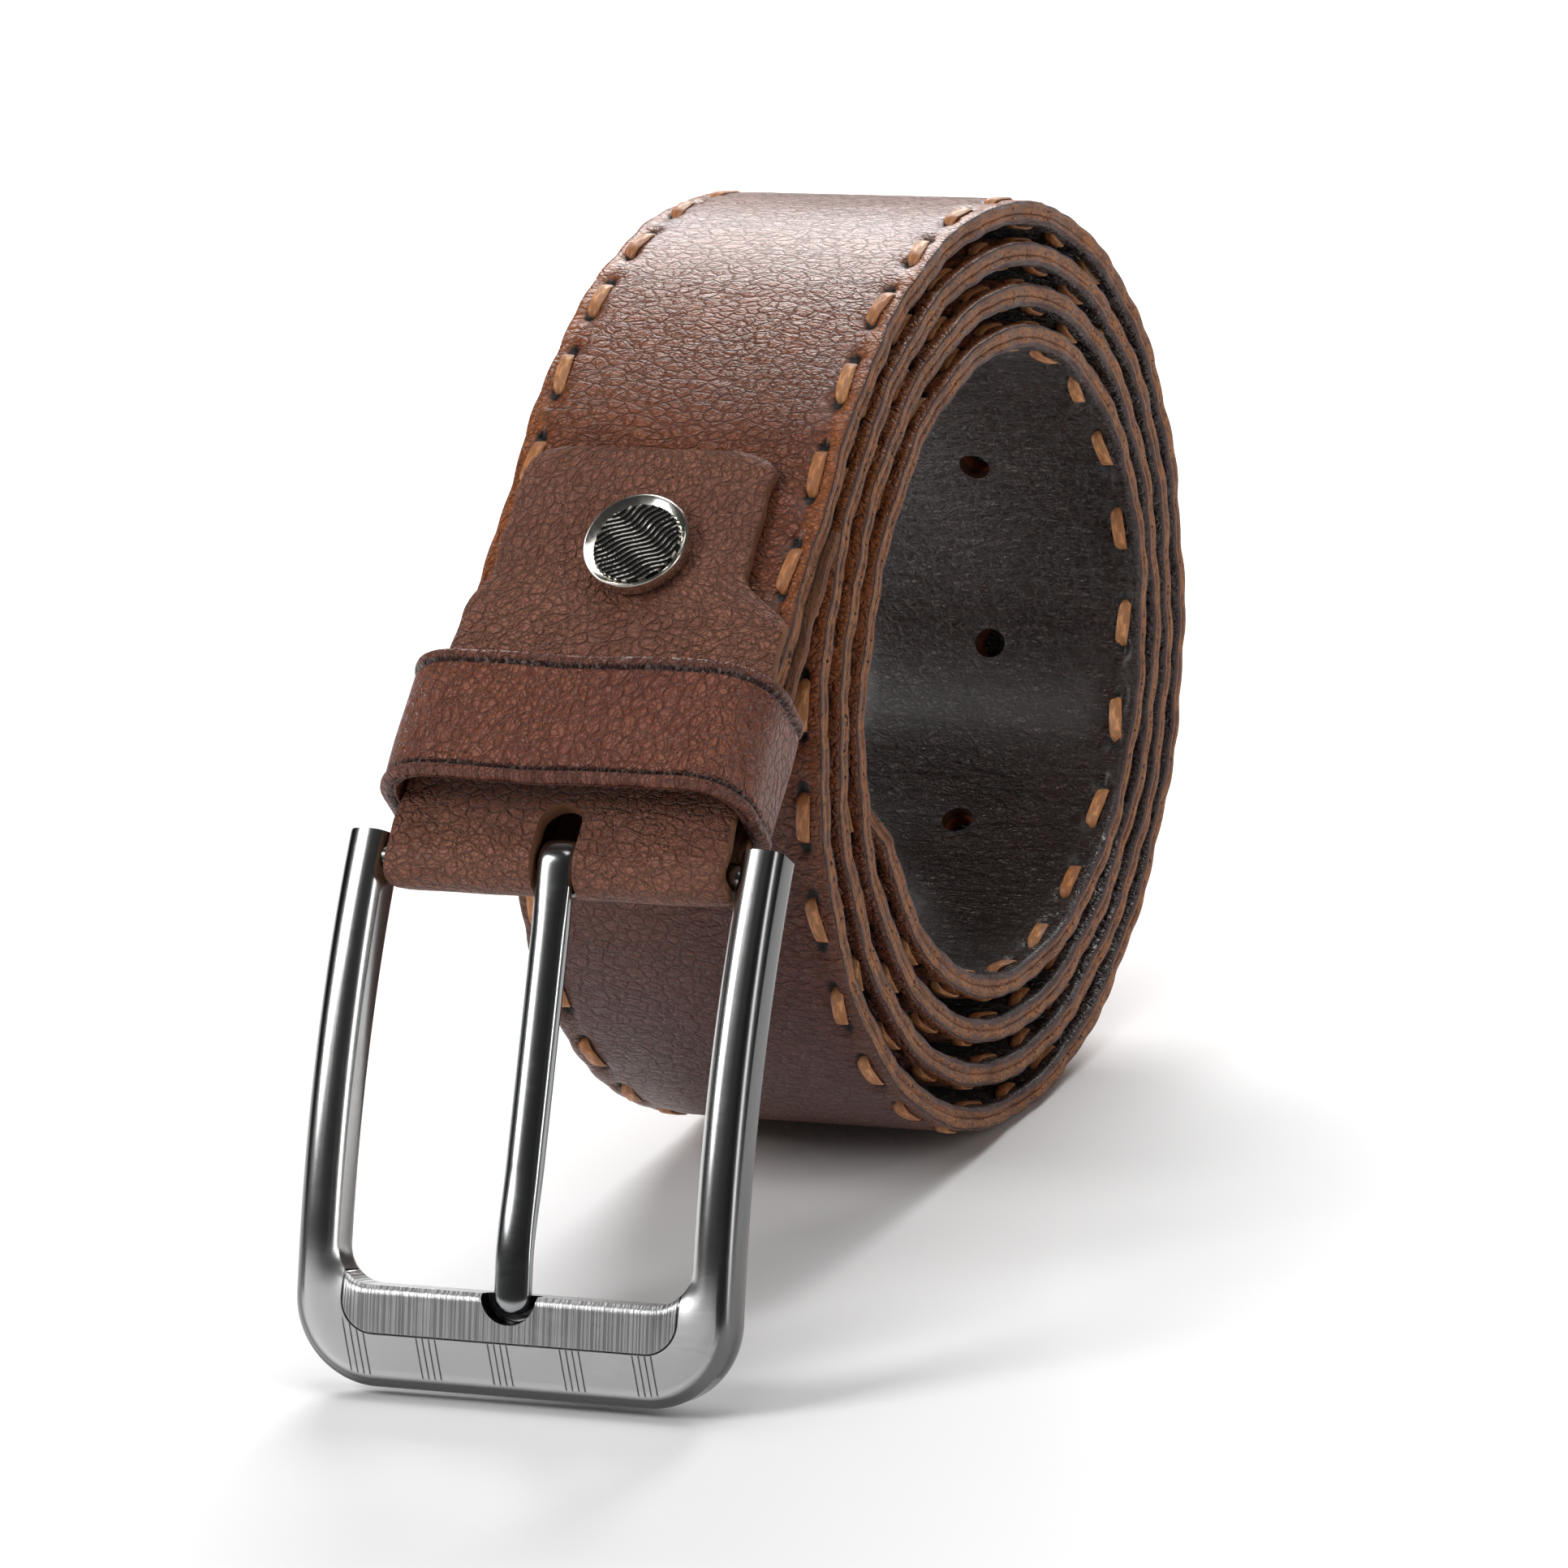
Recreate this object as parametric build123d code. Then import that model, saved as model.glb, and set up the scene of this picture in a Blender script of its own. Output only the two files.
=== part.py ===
from build123d import *
import os
from bisect import bisect_left
from math import cos, hypot, pi, radians, sin

# A gentleman's leather belt, rolled up and stood on its edge, with the buckle end hanging off the roll.
# X runs across the strap, Y from the hanging buckle end to the back of the roll, Z up.
# The model is drawn about the roll's own axis and set on its resting plane at the very end.

# --- strap ---
STRAP_WIDTH = 38.0
GRAIN_THICKNESS = 1.7            # outer, full-grain layer
LINING_THICKNESS = 1.5           # inner, split-leather layer
STRAP_THICKNESS = GRAIN_THICKNESS + LINING_THICKNESS

# --- roll: each turn is a flattened ring, and the next one sits inside it ---
ROLL_HALF_DEPTH = 60.6           # outer surface, along Y, at the top of the first turn
ROLL_HALF_HEIGHT = 54.1          # outer surface, along Z, at the top of the first turn
DEPTH_PER_TURN = 4.9             # how much the half depth shrinks in a turn
HEIGHT_PER_TURN = 4.8
BACK_SHIFT_PER_TURN = 0.65       # the inner turns lean on the back of the roll
LEAVE_ANGLE = 43.0               # where the strap leaves the roll, degrees up from the front
TIP_ANGLE = 1466.0               # where the strap's tip ends, counted on from the front
ARCS_PER_TURN = 16               # the roll's curve is drawn as a chain of arcs

# --- tip and its holes ---
TIP_TAPER = 26.0                 # length of the tapered end
TIP_POINT_HALF_WIDTH = 7.2       # where the straight tapers meet the rounded point
TIP_POINT_RISE = 3.2
HOLE_DIAMETER = 3.8
HOLE_COUNT = 5
HOLE_SPACING = 25.0
FIRST_HOLE_FROM_TIP = 109.0

# --- edge stitching ---
STITCH_INSET = 2.2               # thread's middle, in from the strap's edge
STITCH_LENGTH = 6.3
STITCH_PITCH = 12.5
THREAD_WIDTH = 1.7
THREAD_THICKNESS = 0.4
THREAD_SEAT = 0.03               # the flat thread only touches the leather at its ends
FIRST_STITCH = 18.0              # on the hanging end, mm below the point where the strap leaves the roll
LAST_STITCH_FROM_TIP = 34.0
TIGHTEST_BEND = 27.0             # radius of the innermost turn's lining where it bends most

# --- chape: the folded leather that holds the buckle, from its top edge to the bar ---
CHAPE_FRONT = 1.9                # front leg's thickness
CHAPE_BACK = 1.5                 # back leg's thickness, skived thinner
CHAPE_TOP = 1.5                  # top edge, below the leaving point
CHAPE_BACK_TOP = 8.0
CHAPE_NARROW = 30.0              # width beside the stud
CHAPE_SHOULDER_TOP = 17.0
CHAPE_SHOULDER_END = 23.0
CHAPE_CORNER = 4.0
STRAP_END = 44.0                 # the strap stops between the chape's legs
BAR_AT = 52.3                    # bar's axis, below the leaving point
SLOT_WIDTH = 5.0
SLOT_ABOVE_BAR = 5.6
SLOT_BELOW_BAR = 4.4             # on the back leg

# --- stud: cap, inlay, barrel and screw ---
STUD_AT = 14.5
STUD_DIAMETER = 12.0
STUD_HEIGHT = 2.0
STUD_RIM = 1.1
STUD_EDGE = 0.5                  # rounding of the cap's rim
INLAY_DEPTH = 0.9
INLAY_THICKNESS = 0.6
INLAY_GAP = 0.05
SCREW_GAP = 0.02
BARREL_FLOOR = 1.0               # solid end of the barrel, under the cap
BARREL_DIAMETER = 4.0
SCREW_DIAMETER = 2.4
SCREW_HEAD_DIAMETER = 7.0
SCREW_HEAD = 0.8
SCREW_SLOT = 0.7

# --- keeper loop ---
KEEPER_TOP = 31.5
KEEPER_HEIGHT = 15.8
KEEPER_WALL = 1.9
TIP_ROOM = 4.4                   # gap in front of the chape, for the strap's tip
KEEPER_SIDE_GAP = 0.8
KEEPER_BACK_GAP = 0.6
KEEPER_INNER_CORNER = 1.0
KEEPER_OUTER_CORNER = 3.6
STAPLE_WIRE = 0.8
STAPLE_SPAN = 7.0
STAPLES_AT = (0.28, 0.72)        # shares of the keeper's height

# --- buckle ---
BAR_DIAMETER = 3.0               # turns in the chape's fold, which is as wide inside as the strap is thick
BAR_SHORT = 0.6                  # how far the bar's ends stay below the arms' outer faces
FRAME_WIDTH = 50.4
FRAME_LENGTH = 60.1
FRAME_THICKNESS = 4.6
FRAME_ARM = 4.8
FRAME_FOOT = 11.0                # height of the lower cross-piece
FRAME_BEND_RADIUS = 140.0
FRAME_TOP_SLOPE = 36.0           # lean of the arms at their top, degrees from upright
FRAME_OUTER_CORNER = 9.5
FRAME_INNER_CORNER = 4.0
FOOT_MARGIN = 2.0                # how far the round corners run on past the foot's edge
FRAME_EDGE = 1.0                 # eased front edges
ARM_ABOVE_BAR = 2.5
BAR_BEHIND_FACE = 2.3
NOTCH_RADIUS = 3.2
NOTCH_DEPTH = 2.4

# --- prong ---
PRONG_WIDTH = 4.2
PRONG_THICKNESS = 2.6
PRONG_TIP_THICKNESS = 1.9
PRONG_TIP_GAP = 0.15             # above the notch's floor
PRONG_STRAIGHT = 0.66            # share of the length before the prong steps in
PRONG_TIP_FLAT = 0.1             # share of the length that lies in the notch
PRONG_TIP_ROUNDING = 0.45        # of the prong's width
PRONG_LENGTH = 48.6              # bar axis to tip
PRONG_EYE_WALL = 1.6
PRONG_RUNNING_GAP = 0.08


def roll_point(angle):
    """Outer surface of the strap at an angle counted from the front, over the top."""
    turns = (angle - pi / 2) / (2 * pi)
    half_depth = ROLL_HALF_DEPTH - DEPTH_PER_TURN * turns
    half_height = ROLL_HALF_HEIGHT - HEIGHT_PER_TURN * turns
    return -half_depth * cos(angle) + BACK_SHIFT_PER_TURN * turns, half_height * sin(angle)


def roll_direction(angle):
    """Unit direction along the strap, towards the tip."""
    step = 1e-4
    (y0, z0), (y1, z1) = roll_point(angle - step), roll_point(angle + step)
    length = hypot(y1 - y0, z1 - z0)
    return (y1 - y0) / length, (z1 - z0) / length


LEAVE = radians(LEAVE_ANGLE)
TIP = radians(TIP_ANGLE)


def roll_at(angle, depth=0.0):
    """A point in the strap, depth below its outer surface."""
    y, z = roll_point(angle)
    dy, dz = roll_direction(angle)
    return y + dz * depth, z - dy * depth


def hang_at(down, out=0.0):
    """A point on the straight hanging end: down from the leaving point, out from the outer surface."""
    y, z = roll_point(LEAVE)
    dy, dz = roll_direction(LEAVE)
    return y - dy * down - dz * out, z - dz * down + dy * out


def measure_roll():
    """Angles and lengths along the rolled strap's outer surface, from the leaving point."""
    count = 4000
    angles = [LEAVE + (TIP - LEAVE) * i / count for i in range(count + 1)]
    lengths = [0.0]
    for before, after in zip(angles, angles[1:]):
        (y0, z0), (y1, z1) = roll_point(before), roll_point(after)
        lengths.append(lengths[-1] + hypot(y1 - y0, z1 - z0))
    return angles, lengths


ROLL_ANGLES, ROLL_LENGTHS = measure_roll()
ROLLED_LENGTH = ROLL_LENGTHS[-1]


def angle_at(length):
    """Angle at a length along the roll from the leaving point."""
    i = min(max(bisect_left(ROLL_LENGTHS, length), 1), len(ROLL_LENGTHS) - 1)
    share = (length - ROLL_LENGTHS[i - 1]) / (ROLL_LENGTHS[i] - ROLL_LENGTHS[i - 1])
    return ROLL_ANGLES[i - 1] + share * (ROLL_ANGLES[i] - ROLL_ANGLES[i - 1])


def side_point(yz):
    return Vector(0, yz[0], yz[1])


def strap_edge_line(depth, start, end):
    """The strap's curve at a depth, between two angles, as seen from the side: one arc after another."""
    spans = max(1, round(ARCS_PER_TURN * (end - start) / (2 * pi)))
    corners = [start + (end - start) * i / spans for i in range(spans + 1)]
    lines = []
    for first, last in zip(corners, corners[1:]):
        through = [side_point(roll_at(a, depth)) for a in (first, (first + last) / 2, last)]
        lines.append(ThreePointArc(*through))
    return lines


def across(face, width):
    """Extrude a side profile across the strap, evenly about the middle."""
    return extrude(face, amount=width / 2, dir=(1, 0, 0), both=True)


def layer_section(near, far, start, end, with_hanging_end):
    """Side profile of one leather layer between two depths."""
    outer = strap_edge_line(near, start, end)
    inner = strap_edge_line(far, start, end)
    edges = [*outer, *inner, Line(outer[-1] @ 1, inner[-1] @ 1)]
    if with_hanging_end:
        low_outer = side_point(hang_at(STRAP_END, -near))
        low_inner = side_point(hang_at(STRAP_END, -far))
        edges += [Line(low_outer, outer[0] @ 0), Line(low_inner, inner[0] @ 0), Line(low_outer, low_inner)]
    else:
        edges += [Line(outer[0] @ 0, inner[0] @ 0)]
    return make_face(edges)


def tip_plane():
    """Plane at the tip, seen square to the leather: x across the strap, y back along it."""
    middle = angle_at(ROLLED_LENGTH - TIP_TAPER / 2)
    dy, dz = roll_direction(middle)
    return Plane(origin=side_point(roll_at(TIP)), x_dir=(1, 0, 0), z_dir=(0, -dz, dy))


def tip_outline():
    """Outline of the tapered end with its rounded point, in the tip plane."""
    half = STRAP_WIDTH / 2
    back = 2 * TIP_TAPER
    sign = -1 if tip_plane().y_dir.dot(side_point(roll_direction(TIP))) > 0 else 1
    point = (0.0, 0.0)
    corner = (TIP_POINT_HALF_WIDTH, sign * TIP_POINT_RISE)
    side = (half, sign * TIP_TAPER)
    far = (half + 1, sign * back)
    mirror = [(-x, y) for x, y in (corner, side, far)]
    edges = [
        ThreePointArc(mirror[0], point, corner),
        Line(corner, side), Line(side, far), Line(far, mirror[2]),
        Line(mirror[2], mirror[1]), Line(mirror[1], mirror[0]),
    ]
    return tip_plane() * make_face(edges)


def square_to_leather(angle, depth=0.0):
    """Plane on the strap at an angle, z outwards."""
    dy, dz = roll_direction(angle)
    return Plane(origin=side_point(roll_at(angle, depth)), x_dir=(1, 0, 0), z_dir=(0, -dz, dy))


def hang_plane(down, out=0.0):
    """Plane on the hanging end, z outwards, y up along the strap."""
    dy, dz = roll_direction(LEAVE)
    return Plane(origin=side_point(hang_at(down, out)), x_dir=(1, 0, 0), z_dir=(0, -dz, dy))


def holes():
    """Cutters for the punched holes near the tip, each square to the leather."""
    cutters = []
    for number in range(HOLE_COUNT):
        length = ROLLED_LENGTH - FIRST_HOLE_FROM_TIP - number * HOLE_SPACING
        plane = square_to_leather(angle_at(length), STRAP_THICKNESS / 2)
        cutters.append(plane * Cylinder(HOLE_DIAMETER / 2, STRAP_THICKNESS + 2 * THREAD_THICKNESS))
    return cutters


def stud_hole():
    return hang_plane(STUD_AT) * Cylinder(BARREL_DIAMETER / 2, 4 * STRAP_THICKNESS)


def strap_layer(near, far):
    """One full-length leather layer, with its tapered tip and its holes."""
    taper_start = angle_at(ROLLED_LENGTH - TIP_TAPER)
    body = across(layer_section(near, far, LEAVE, taper_start, True), STRAP_WIDTH)
    end = across(layer_section(near, far, taper_start, TIP, False), STRAP_WIDTH)
    end = end & extrude(tip_outline(), amount=3 * STRAP_THICKNESS, both=True)
    layer = (body + end) - stud_hole()
    for cutter in holes():
        layer -= cutter
    return layer


def stitch_on_roll(length, outside, x):
    """One stitch lying flat on a rolled face of the strap."""
    angle = angle_at(length)
    if outside:
        plane = square_to_leather(angle)
        lift = THREAD_THICKNESS / 2 + THREAD_SEAT
    else:
        sag = STITCH_LENGTH**2 / 8 / TIGHTEST_BEND
        plane = square_to_leather(angle, STRAP_THICKNESS)
        lift = -THREAD_THICKNESS / 2 - sag - THREAD_SEAT
    return plane * Pos(x, 0, lift) * Box(THREAD_WIDTH, STITCH_LENGTH, THREAD_THICKNESS)


def stitch_row(side):
    """A row of flat waxed stitches, every other one on the lining side."""
    x = side * (STRAP_WIDTH / 2 - STITCH_INSET)
    stitches = []
    down = FIRST_STITCH
    while down > STITCH_LENGTH / 2:
        place = hang_plane(down - STITCH_LENGTH / 2, THREAD_THICKNESS / 2)
        stitches.append(place * Pos(x, 0, 0) * Box(THREAD_WIDTH, STITCH_LENGTH, THREAD_THICKNESS))
        down -= STITCH_PITCH
    length = STITCH_PITCH - down + STITCH_LENGTH / 2
    while length < ROLLED_LENGTH - LAST_STITCH_FROM_TIP:
        stitches.append(stitch_on_roll(length, True, x))
        stitches.append(stitch_on_roll(length + STITCH_PITCH / 2, False, x))
        length += STITCH_PITCH
    return Compound(children=stitches)


def chape():
    """Folded leather: front leg, the fold round the bar and the thinner back leg."""
    mid = -STRAP_THICKNESS / 2
    fold = STRAP_THICKNESS / 2
    front = make_face([
        Line(side_point(hang_at(CHAPE_TOP)), side_point(hang_at(BAR_AT))),
        Line(side_point(hang_at(BAR_AT)), side_point(hang_at(BAR_AT, CHAPE_FRONT))),
        Line(side_point(hang_at(BAR_AT, CHAPE_FRONT)), side_point(hang_at(CHAPE_TOP, CHAPE_FRONT))),
        Line(side_point(hang_at(CHAPE_TOP, CHAPE_FRONT)), side_point(hang_at(CHAPE_TOP))),
    ])
    back_in = -STRAP_THICKNESS
    back_out = back_in - CHAPE_BACK
    bend_out = hang_at(BAR_AT, mid - fold - CHAPE_FRONT)
    back = make_face([
        Line(side_point(hang_at(CHAPE_BACK_TOP, back_in)), side_point(hang_at(BAR_AT, back_in))),
        Line(side_point(hang_at(BAR_AT, back_in)), side_point(bend_out)),
        Line(side_point(bend_out), side_point(hang_at(STRAP_END, back_out))),
        Line(side_point(hang_at(STRAP_END, back_out)), side_point(hang_at(CHAPE_BACK_TOP, back_out))),
        Line(side_point(hang_at(CHAPE_BACK_TOP, back_out)), side_point(hang_at(CHAPE_BACK_TOP, back_in))),
    ])
    reach = fold + CHAPE_FRONT
    outer_arc = ThreePointArc(
        side_point(hang_at(BAR_AT, mid + reach)), side_point(hang_at(BAR_AT + reach, mid)),
        side_point(hang_at(BAR_AT, mid - reach)))
    inner_arc = ThreePointArc(
        side_point(hang_at(BAR_AT, mid + fold)), side_point(hang_at(BAR_AT + fold, mid)),
        side_point(hang_at(BAR_AT, mid - fold)))
    bend = make_face([outer_arc, inner_arc, Line(outer_arc @ 0, inner_arc @ 0),
                      Line(outer_arc @ 1, inner_arc @ 1)])
    solid = across(front, STRAP_WIDTH) + across(bend, STRAP_WIDTH) + across(back, STRAP_WIDTH)
    solid = solid & extrude(chape_outline(), amount=6 * STRAP_THICKNESS, both=True)
    slot_length = SLOT_ABOVE_BAR + SLOT_BELOW_BAR
    slot_at = BAR_AT + (SLOT_BELOW_BAR - SLOT_ABOVE_BAR) / 2
    slot = hang_plane(slot_at) * Box(SLOT_WIDTH, slot_length, 6 * STRAP_THICKNESS)
    return solid - slot - stud_hole()


def chape_outline():
    """Front outline: a narrow rounded top beside the stud, shoulders, then the full width."""
    half, narrow = STRAP_WIDTH / 2, CHAPE_NARROW / 2
    points = [
        (narrow - CHAPE_CORNER, -CHAPE_TOP), (narrow, -CHAPE_TOP - CHAPE_CORNER),
        (narrow, -CHAPE_SHOULDER_TOP), (half, -CHAPE_SHOULDER_END), (half, -BAR_AT - 2 * STRAP_THICKNESS),
    ]
    rounding = CHAPE_CORNER * (1 - cos(radians(45)))
    bulge = (narrow - rounding, -CHAPE_TOP - rounding)
    left = [(-x, y) for x, y in points]
    edges = [
        ThreePointArc(points[0], bulge, points[1]), Line(points[1], points[2]),
        Spline(points[2], points[3], tangents=[(0, -1), (0, -1)]), Line(points[3], points[4]),
        Line(points[4], left[4]), Line(left[4], left[3]),
        Spline(left[3], left[2], tangents=[(0, 1), (0, 1)]), Line(left[2], left[1]),
        ThreePointArc(left[1], (-bulge[0], bulge[1]), left[0]), Line(left[0], points[0]),
    ]
    return hang_plane(0) * make_face(edges)


def stud_plane(out):
    return hang_plane(STUD_AT, out)


def stud_cap():
    """Round cap with a raised rim round a sunken field."""
    base = CHAPE_FRONT
    cap = stud_plane(base + STUD_HEIGHT / 2) * Cylinder(STUD_DIAMETER / 2, STUD_HEIGHT)
    outwards = Axis((0, 0, 0), hang_plane(0).z_dir)
    cap = fillet(cap.edges().filter_by(GeomType.CIRCLE).sort_by(outwards)[-1], STUD_EDGE)
    field = stud_plane(base + STUD_HEIGHT - INLAY_DEPTH / 2)
    return cap - field * Cylinder(STUD_DIAMETER / 2 - STUD_RIM, INLAY_DEPTH)


def stud_inlay():
    """Blackened ridged disc that lies in the cap's field."""
    at = CHAPE_FRONT + STUD_HEIGHT - INLAY_DEPTH + INLAY_THICKNESS / 2
    return stud_plane(at) * Cylinder(STUD_DIAMETER / 2 - STUD_RIM - INLAY_GAP, INLAY_THICKNESS)


def stud_barrel():
    """Threaded barrel under the cap, through both chape legs and the strap."""
    length = CHAPE_FRONT + STRAP_THICKNESS + CHAPE_BACK
    middle = CHAPE_FRONT - length / 2
    barrel = stud_plane(middle) * Cylinder(BARREL_DIAMETER / 2, length)
    bore = stud_plane(middle - BARREL_FLOOR) * Cylinder(SCREW_DIAMETER / 2, length)
    return barrel - bore


def stud_screw():
    """Slotted screw that closes the stud from behind."""
    back = -STRAP_THICKNESS - CHAPE_BACK
    head = stud_plane(back - SCREW_HEAD / 2) * Cylinder(SCREW_HEAD_DIAMETER / 2, SCREW_HEAD)
    shank_length = STRAP_THICKNESS + CHAPE_BACK + CHAPE_FRONT - BARREL_FLOOR
    shank = stud_plane(back + shank_length / 2) * Cylinder(SCREW_DIAMETER / 2 - SCREW_GAP, shank_length)
    slot = stud_plane(back - SCREW_HEAD) * Box(SCREW_HEAD_DIAMETER, SCREW_SLOT, SCREW_HEAD)
    return head + shank - slot


def keeper_limits():
    """Inner faces of the keeper, out from the strap's outer surface."""
    front = CHAPE_FRONT + TIP_ROOM
    back = -STRAP_THICKNESS - CHAPE_BACK - KEEPER_BACK_GAP
    return front, back


def keeper_loop():
    """Leather loop round strap and chape, with room in front for the tip."""
    front, back = keeper_limits()
    inner_width = STRAP_WIDTH + 2 * KEEPER_SIDE_GAP
    inner_depth = front - back
    centre = hang_plane(KEEPER_TOP + KEEPER_HEIGHT / 2, (front + back) / 2)
    down_the_strap = centre * Rot(90, 0, 0)
    outer = RectangleRounded(inner_width + 2 * KEEPER_WALL, inner_depth + 2 * KEEPER_WALL,
                             KEEPER_OUTER_CORNER)
    inner = RectangleRounded(inner_width, inner_depth, KEEPER_INNER_CORNER)
    return extrude(down_the_strap * (outer - inner), amount=KEEPER_HEIGHT / 2, both=True)


def keeper_staples():
    """Two wire staples that close the loop's butted ends, behind the strap."""
    back = keeper_limits()[1]
    staples = []
    for share in STAPLES_AT:
        at = KEEPER_TOP + share * KEEPER_HEIGHT
        crown = hang_plane(at, back - KEEPER_WALL - STAPLE_WIRE / 2)
        staples.append(crown * Box(STAPLE_SPAN, STAPLE_WIRE, STAPLE_WIRE))
    return Compound(children=staples)


def frame_path(along, back=0.0):
    """A point of the curved frame: along its front face from the arms' top, back into the metal."""
    slope = radians(FRAME_TOP_SLOPE)
    turned = along / FRAME_BEND_RADIUS
    by, bz = bar_centre()
    start_y = by + ARM_ABOVE_BAR * sin(slope) - BAR_BEHIND_FACE * cos(slope)
    start_z = bz + ARM_ABOVE_BAR * cos(slope) + BAR_BEHIND_FACE * sin(slope)
    y = start_y - FRAME_BEND_RADIUS * (cos(slope - turned) - cos(slope))
    z = start_z - FRAME_BEND_RADIUS * (sin(slope) - sin(slope - turned))
    return y + back * cos(slope - turned), z - back * sin(slope - turned)


def frame_direction(along):
    """Unit directions at a point of the frame: down along it, and forwards out of its face."""
    lean = radians(FRAME_TOP_SLOPE) - along / FRAME_BEND_RADIUS
    return Vector(0, -sin(lean), -cos(lean)), Vector(0, -cos(lean), sin(lean))


def bar_centre():
    return hang_at(BAR_AT, -STRAP_THICKNESS / 2)


def bar_plane():
    return Plane(origin=side_point(bar_centre()), x_dir=(0, 1, 0), z_dir=(1, 0, 0))


def frame_chord_plane():
    """Plane across the arms' ends and the foot: x across, y up the frame, z forwards."""
    top, foot = side_point(frame_path(0)), side_point(frame_path(FRAME_LENGTH))
    up = (top - foot).normalized()
    across_x = Vector(1, 0, 0)
    return Plane(origin=foot, x_dir=across_x, z_dir=across_x.cross(up))


def buckle_frame():
    """Curved U-shaped frame with round corners, a pin notch and a hole through each arm's end."""
    half_way = FRAME_LENGTH / 2
    front = ThreePointArc(*[side_point(frame_path(a)) for a in (0, half_way, FRAME_LENGTH)])
    rear = ThreePointArc(*[side_point(frame_path(a, FRAME_THICKNESS)) for a in (0, half_way, FRAME_LENGTH)])
    band = across(make_face([front, rear, Line(front @ 0, rear @ 0), Line(front @ 1, rear @ 1)]), FRAME_WIDTH)
    plane = frame_chord_plane()
    reach = 2 * FRAME_LENGTH
    outline = Pos(0, (reach - FOOT_MARGIN) / 2) * RectangleRounded(
        FRAME_WIDTH, reach + FOOT_MARGIN, FRAME_OUTER_CORNER)
    window = Pos(0, FRAME_FOOT + reach / 2) * RectangleRounded(
        FRAME_WIDTH - 2 * FRAME_ARM, reach, FRAME_INNER_CORNER)
    body = band & extrude(plane * outline, amount=FRAME_LENGTH, both=True)
    body -= extrude(plane * window, amount=FRAME_LENGTH, both=True)
    body = ease_front(body)
    at = FRAME_LENGTH - FRAME_FOOT
    notch = Plane(origin=side_point(frame_path(at)), x_dir=(1, 0, 0), z_dir=frame_direction(at)[1])
    body -= notch * Cylinder(NOTCH_RADIUS, 2 * NOTCH_DEPTH)
    return body - bar_plane() * Cylinder(BAR_DIAMETER / 2, FRAME_WIDTH * 2)


def ease_front(body):
    """Round over the frame's long front edges."""
    front_face = body.faces().sort_by(Axis((0, 0, 0), frame_chord_plane().z_dir))[-1]
    return fillet(front_face.edges(), FRAME_EDGE)


def buckle_bar():
    """Round bar pressed through both arms, through the chape's fold."""
    return bar_plane() * Cylinder(BAR_DIAMETER / 2, FRAME_WIDTH - 2 * BAR_SHORT)


def prong_edge(out_top, out_low):
    """Side line of the prong: straight down from the eye, then a gentle step in to the notch."""
    foot_at = ARM_ABOVE_BAR + PRONG_LENGTH
    foot_down, foot_out = frame_direction(foot_at)
    bar, foot = side_point(bar_centre()), side_point(frame_path(foot_at, NOTCH_DEPTH))
    down = (foot - bar).normalized()
    out = Vector(0, down.Z, -down.Y)
    start = bar + out * out_top
    bend = start + down * (PRONG_LENGTH * PRONG_STRAIGHT)
    rest = foot + foot_out * out_low
    before_rest = rest - foot_down * (PRONG_LENGTH * PRONG_TIP_FLAT)
    return [Line(start, bend), Spline(bend, before_rest, tangents=[down, foot_down]), Line(before_rest, rest)]


def prong():
    """Prong with its eye round the bar, a long shank and a rounded tip that lies in the notch."""
    eye_hole = BAR_DIAMETER / 2 + PRONG_RUNNING_GAP
    eye = eye_hole + PRONG_EYE_WALL
    upper = prong_edge(eye, PRONG_TIP_THICKNESS + PRONG_TIP_GAP)
    lower = prong_edge(eye - PRONG_THICKNESS, PRONG_TIP_GAP)
    side = make_face([*upper, *lower, Line(upper[0] @ 0, lower[0] @ 0), Line(upper[2] @ 1, lower[2] @ 1)])
    shank = across(side, PRONG_WIDTH)
    foot_y, foot_z = frame_path(ARM_ABOVE_BAR + PRONG_LENGTH, 0)
    by, bz = bar_centre()
    down = Vector(0, foot_y - by, foot_z - bz).normalized()
    tip_view = Plane(origin=side_point(bar_centre()), x_dir=(1, 0, 0), z_dir=Vector(1, 0, 0).cross(down))
    outline = Pos(0, PRONG_LENGTH / 2 - eye) * RectangleRounded(
        PRONG_WIDTH, PRONG_LENGTH + 2 * eye, PRONG_WIDTH * PRONG_TIP_ROUNDING)
    shank = shank & extrude(tip_view * outline, amount=PRONG_LENGTH, both=True)
    ring = bar_plane() * Cylinder(eye, PRONG_WIDTH)
    bore = bar_plane() * Cylinder(eye_hole, 2 * PRONG_WIDTH)
    return shank + ring - bore


def build():
    """All pieces about the roll's axis, by node name."""
    return {
        "strap_grain": strap_layer(0.0, GRAIN_THICKNESS),
        "strap_lining": strap_layer(GRAIN_THICKNESS, STRAP_THICKNESS),
        "stitching_left": stitch_row(-1),
        "stitching_right": stitch_row(1),
        "chape": chape(),
        "stud_cap": stud_cap(),
        "stud_inlay": stud_inlay(),
        "stud_barrel": stud_barrel(),
        "stud_screw": stud_screw(),
        "keeper_loop": keeper_loop(),
        "keeper_staples": keeper_staples(),
        "buckle_frame": buckle_frame(),
        "buckle_bar": buckle_bar(),
        "prong": prong(),
    }


pieces = build()
box = Compound(children=[piece.moved(Location()) for piece in pieces.values()]).bounding_box()
to_origin = Pos(0, -(box.min.Y + box.max.Y) / 2, -box.min.Z)
os.makedirs("parts", exist_ok=True)
for name, piece in pieces.items():
    export_step(to_origin * piece, f"parts/{name}.step")

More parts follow.
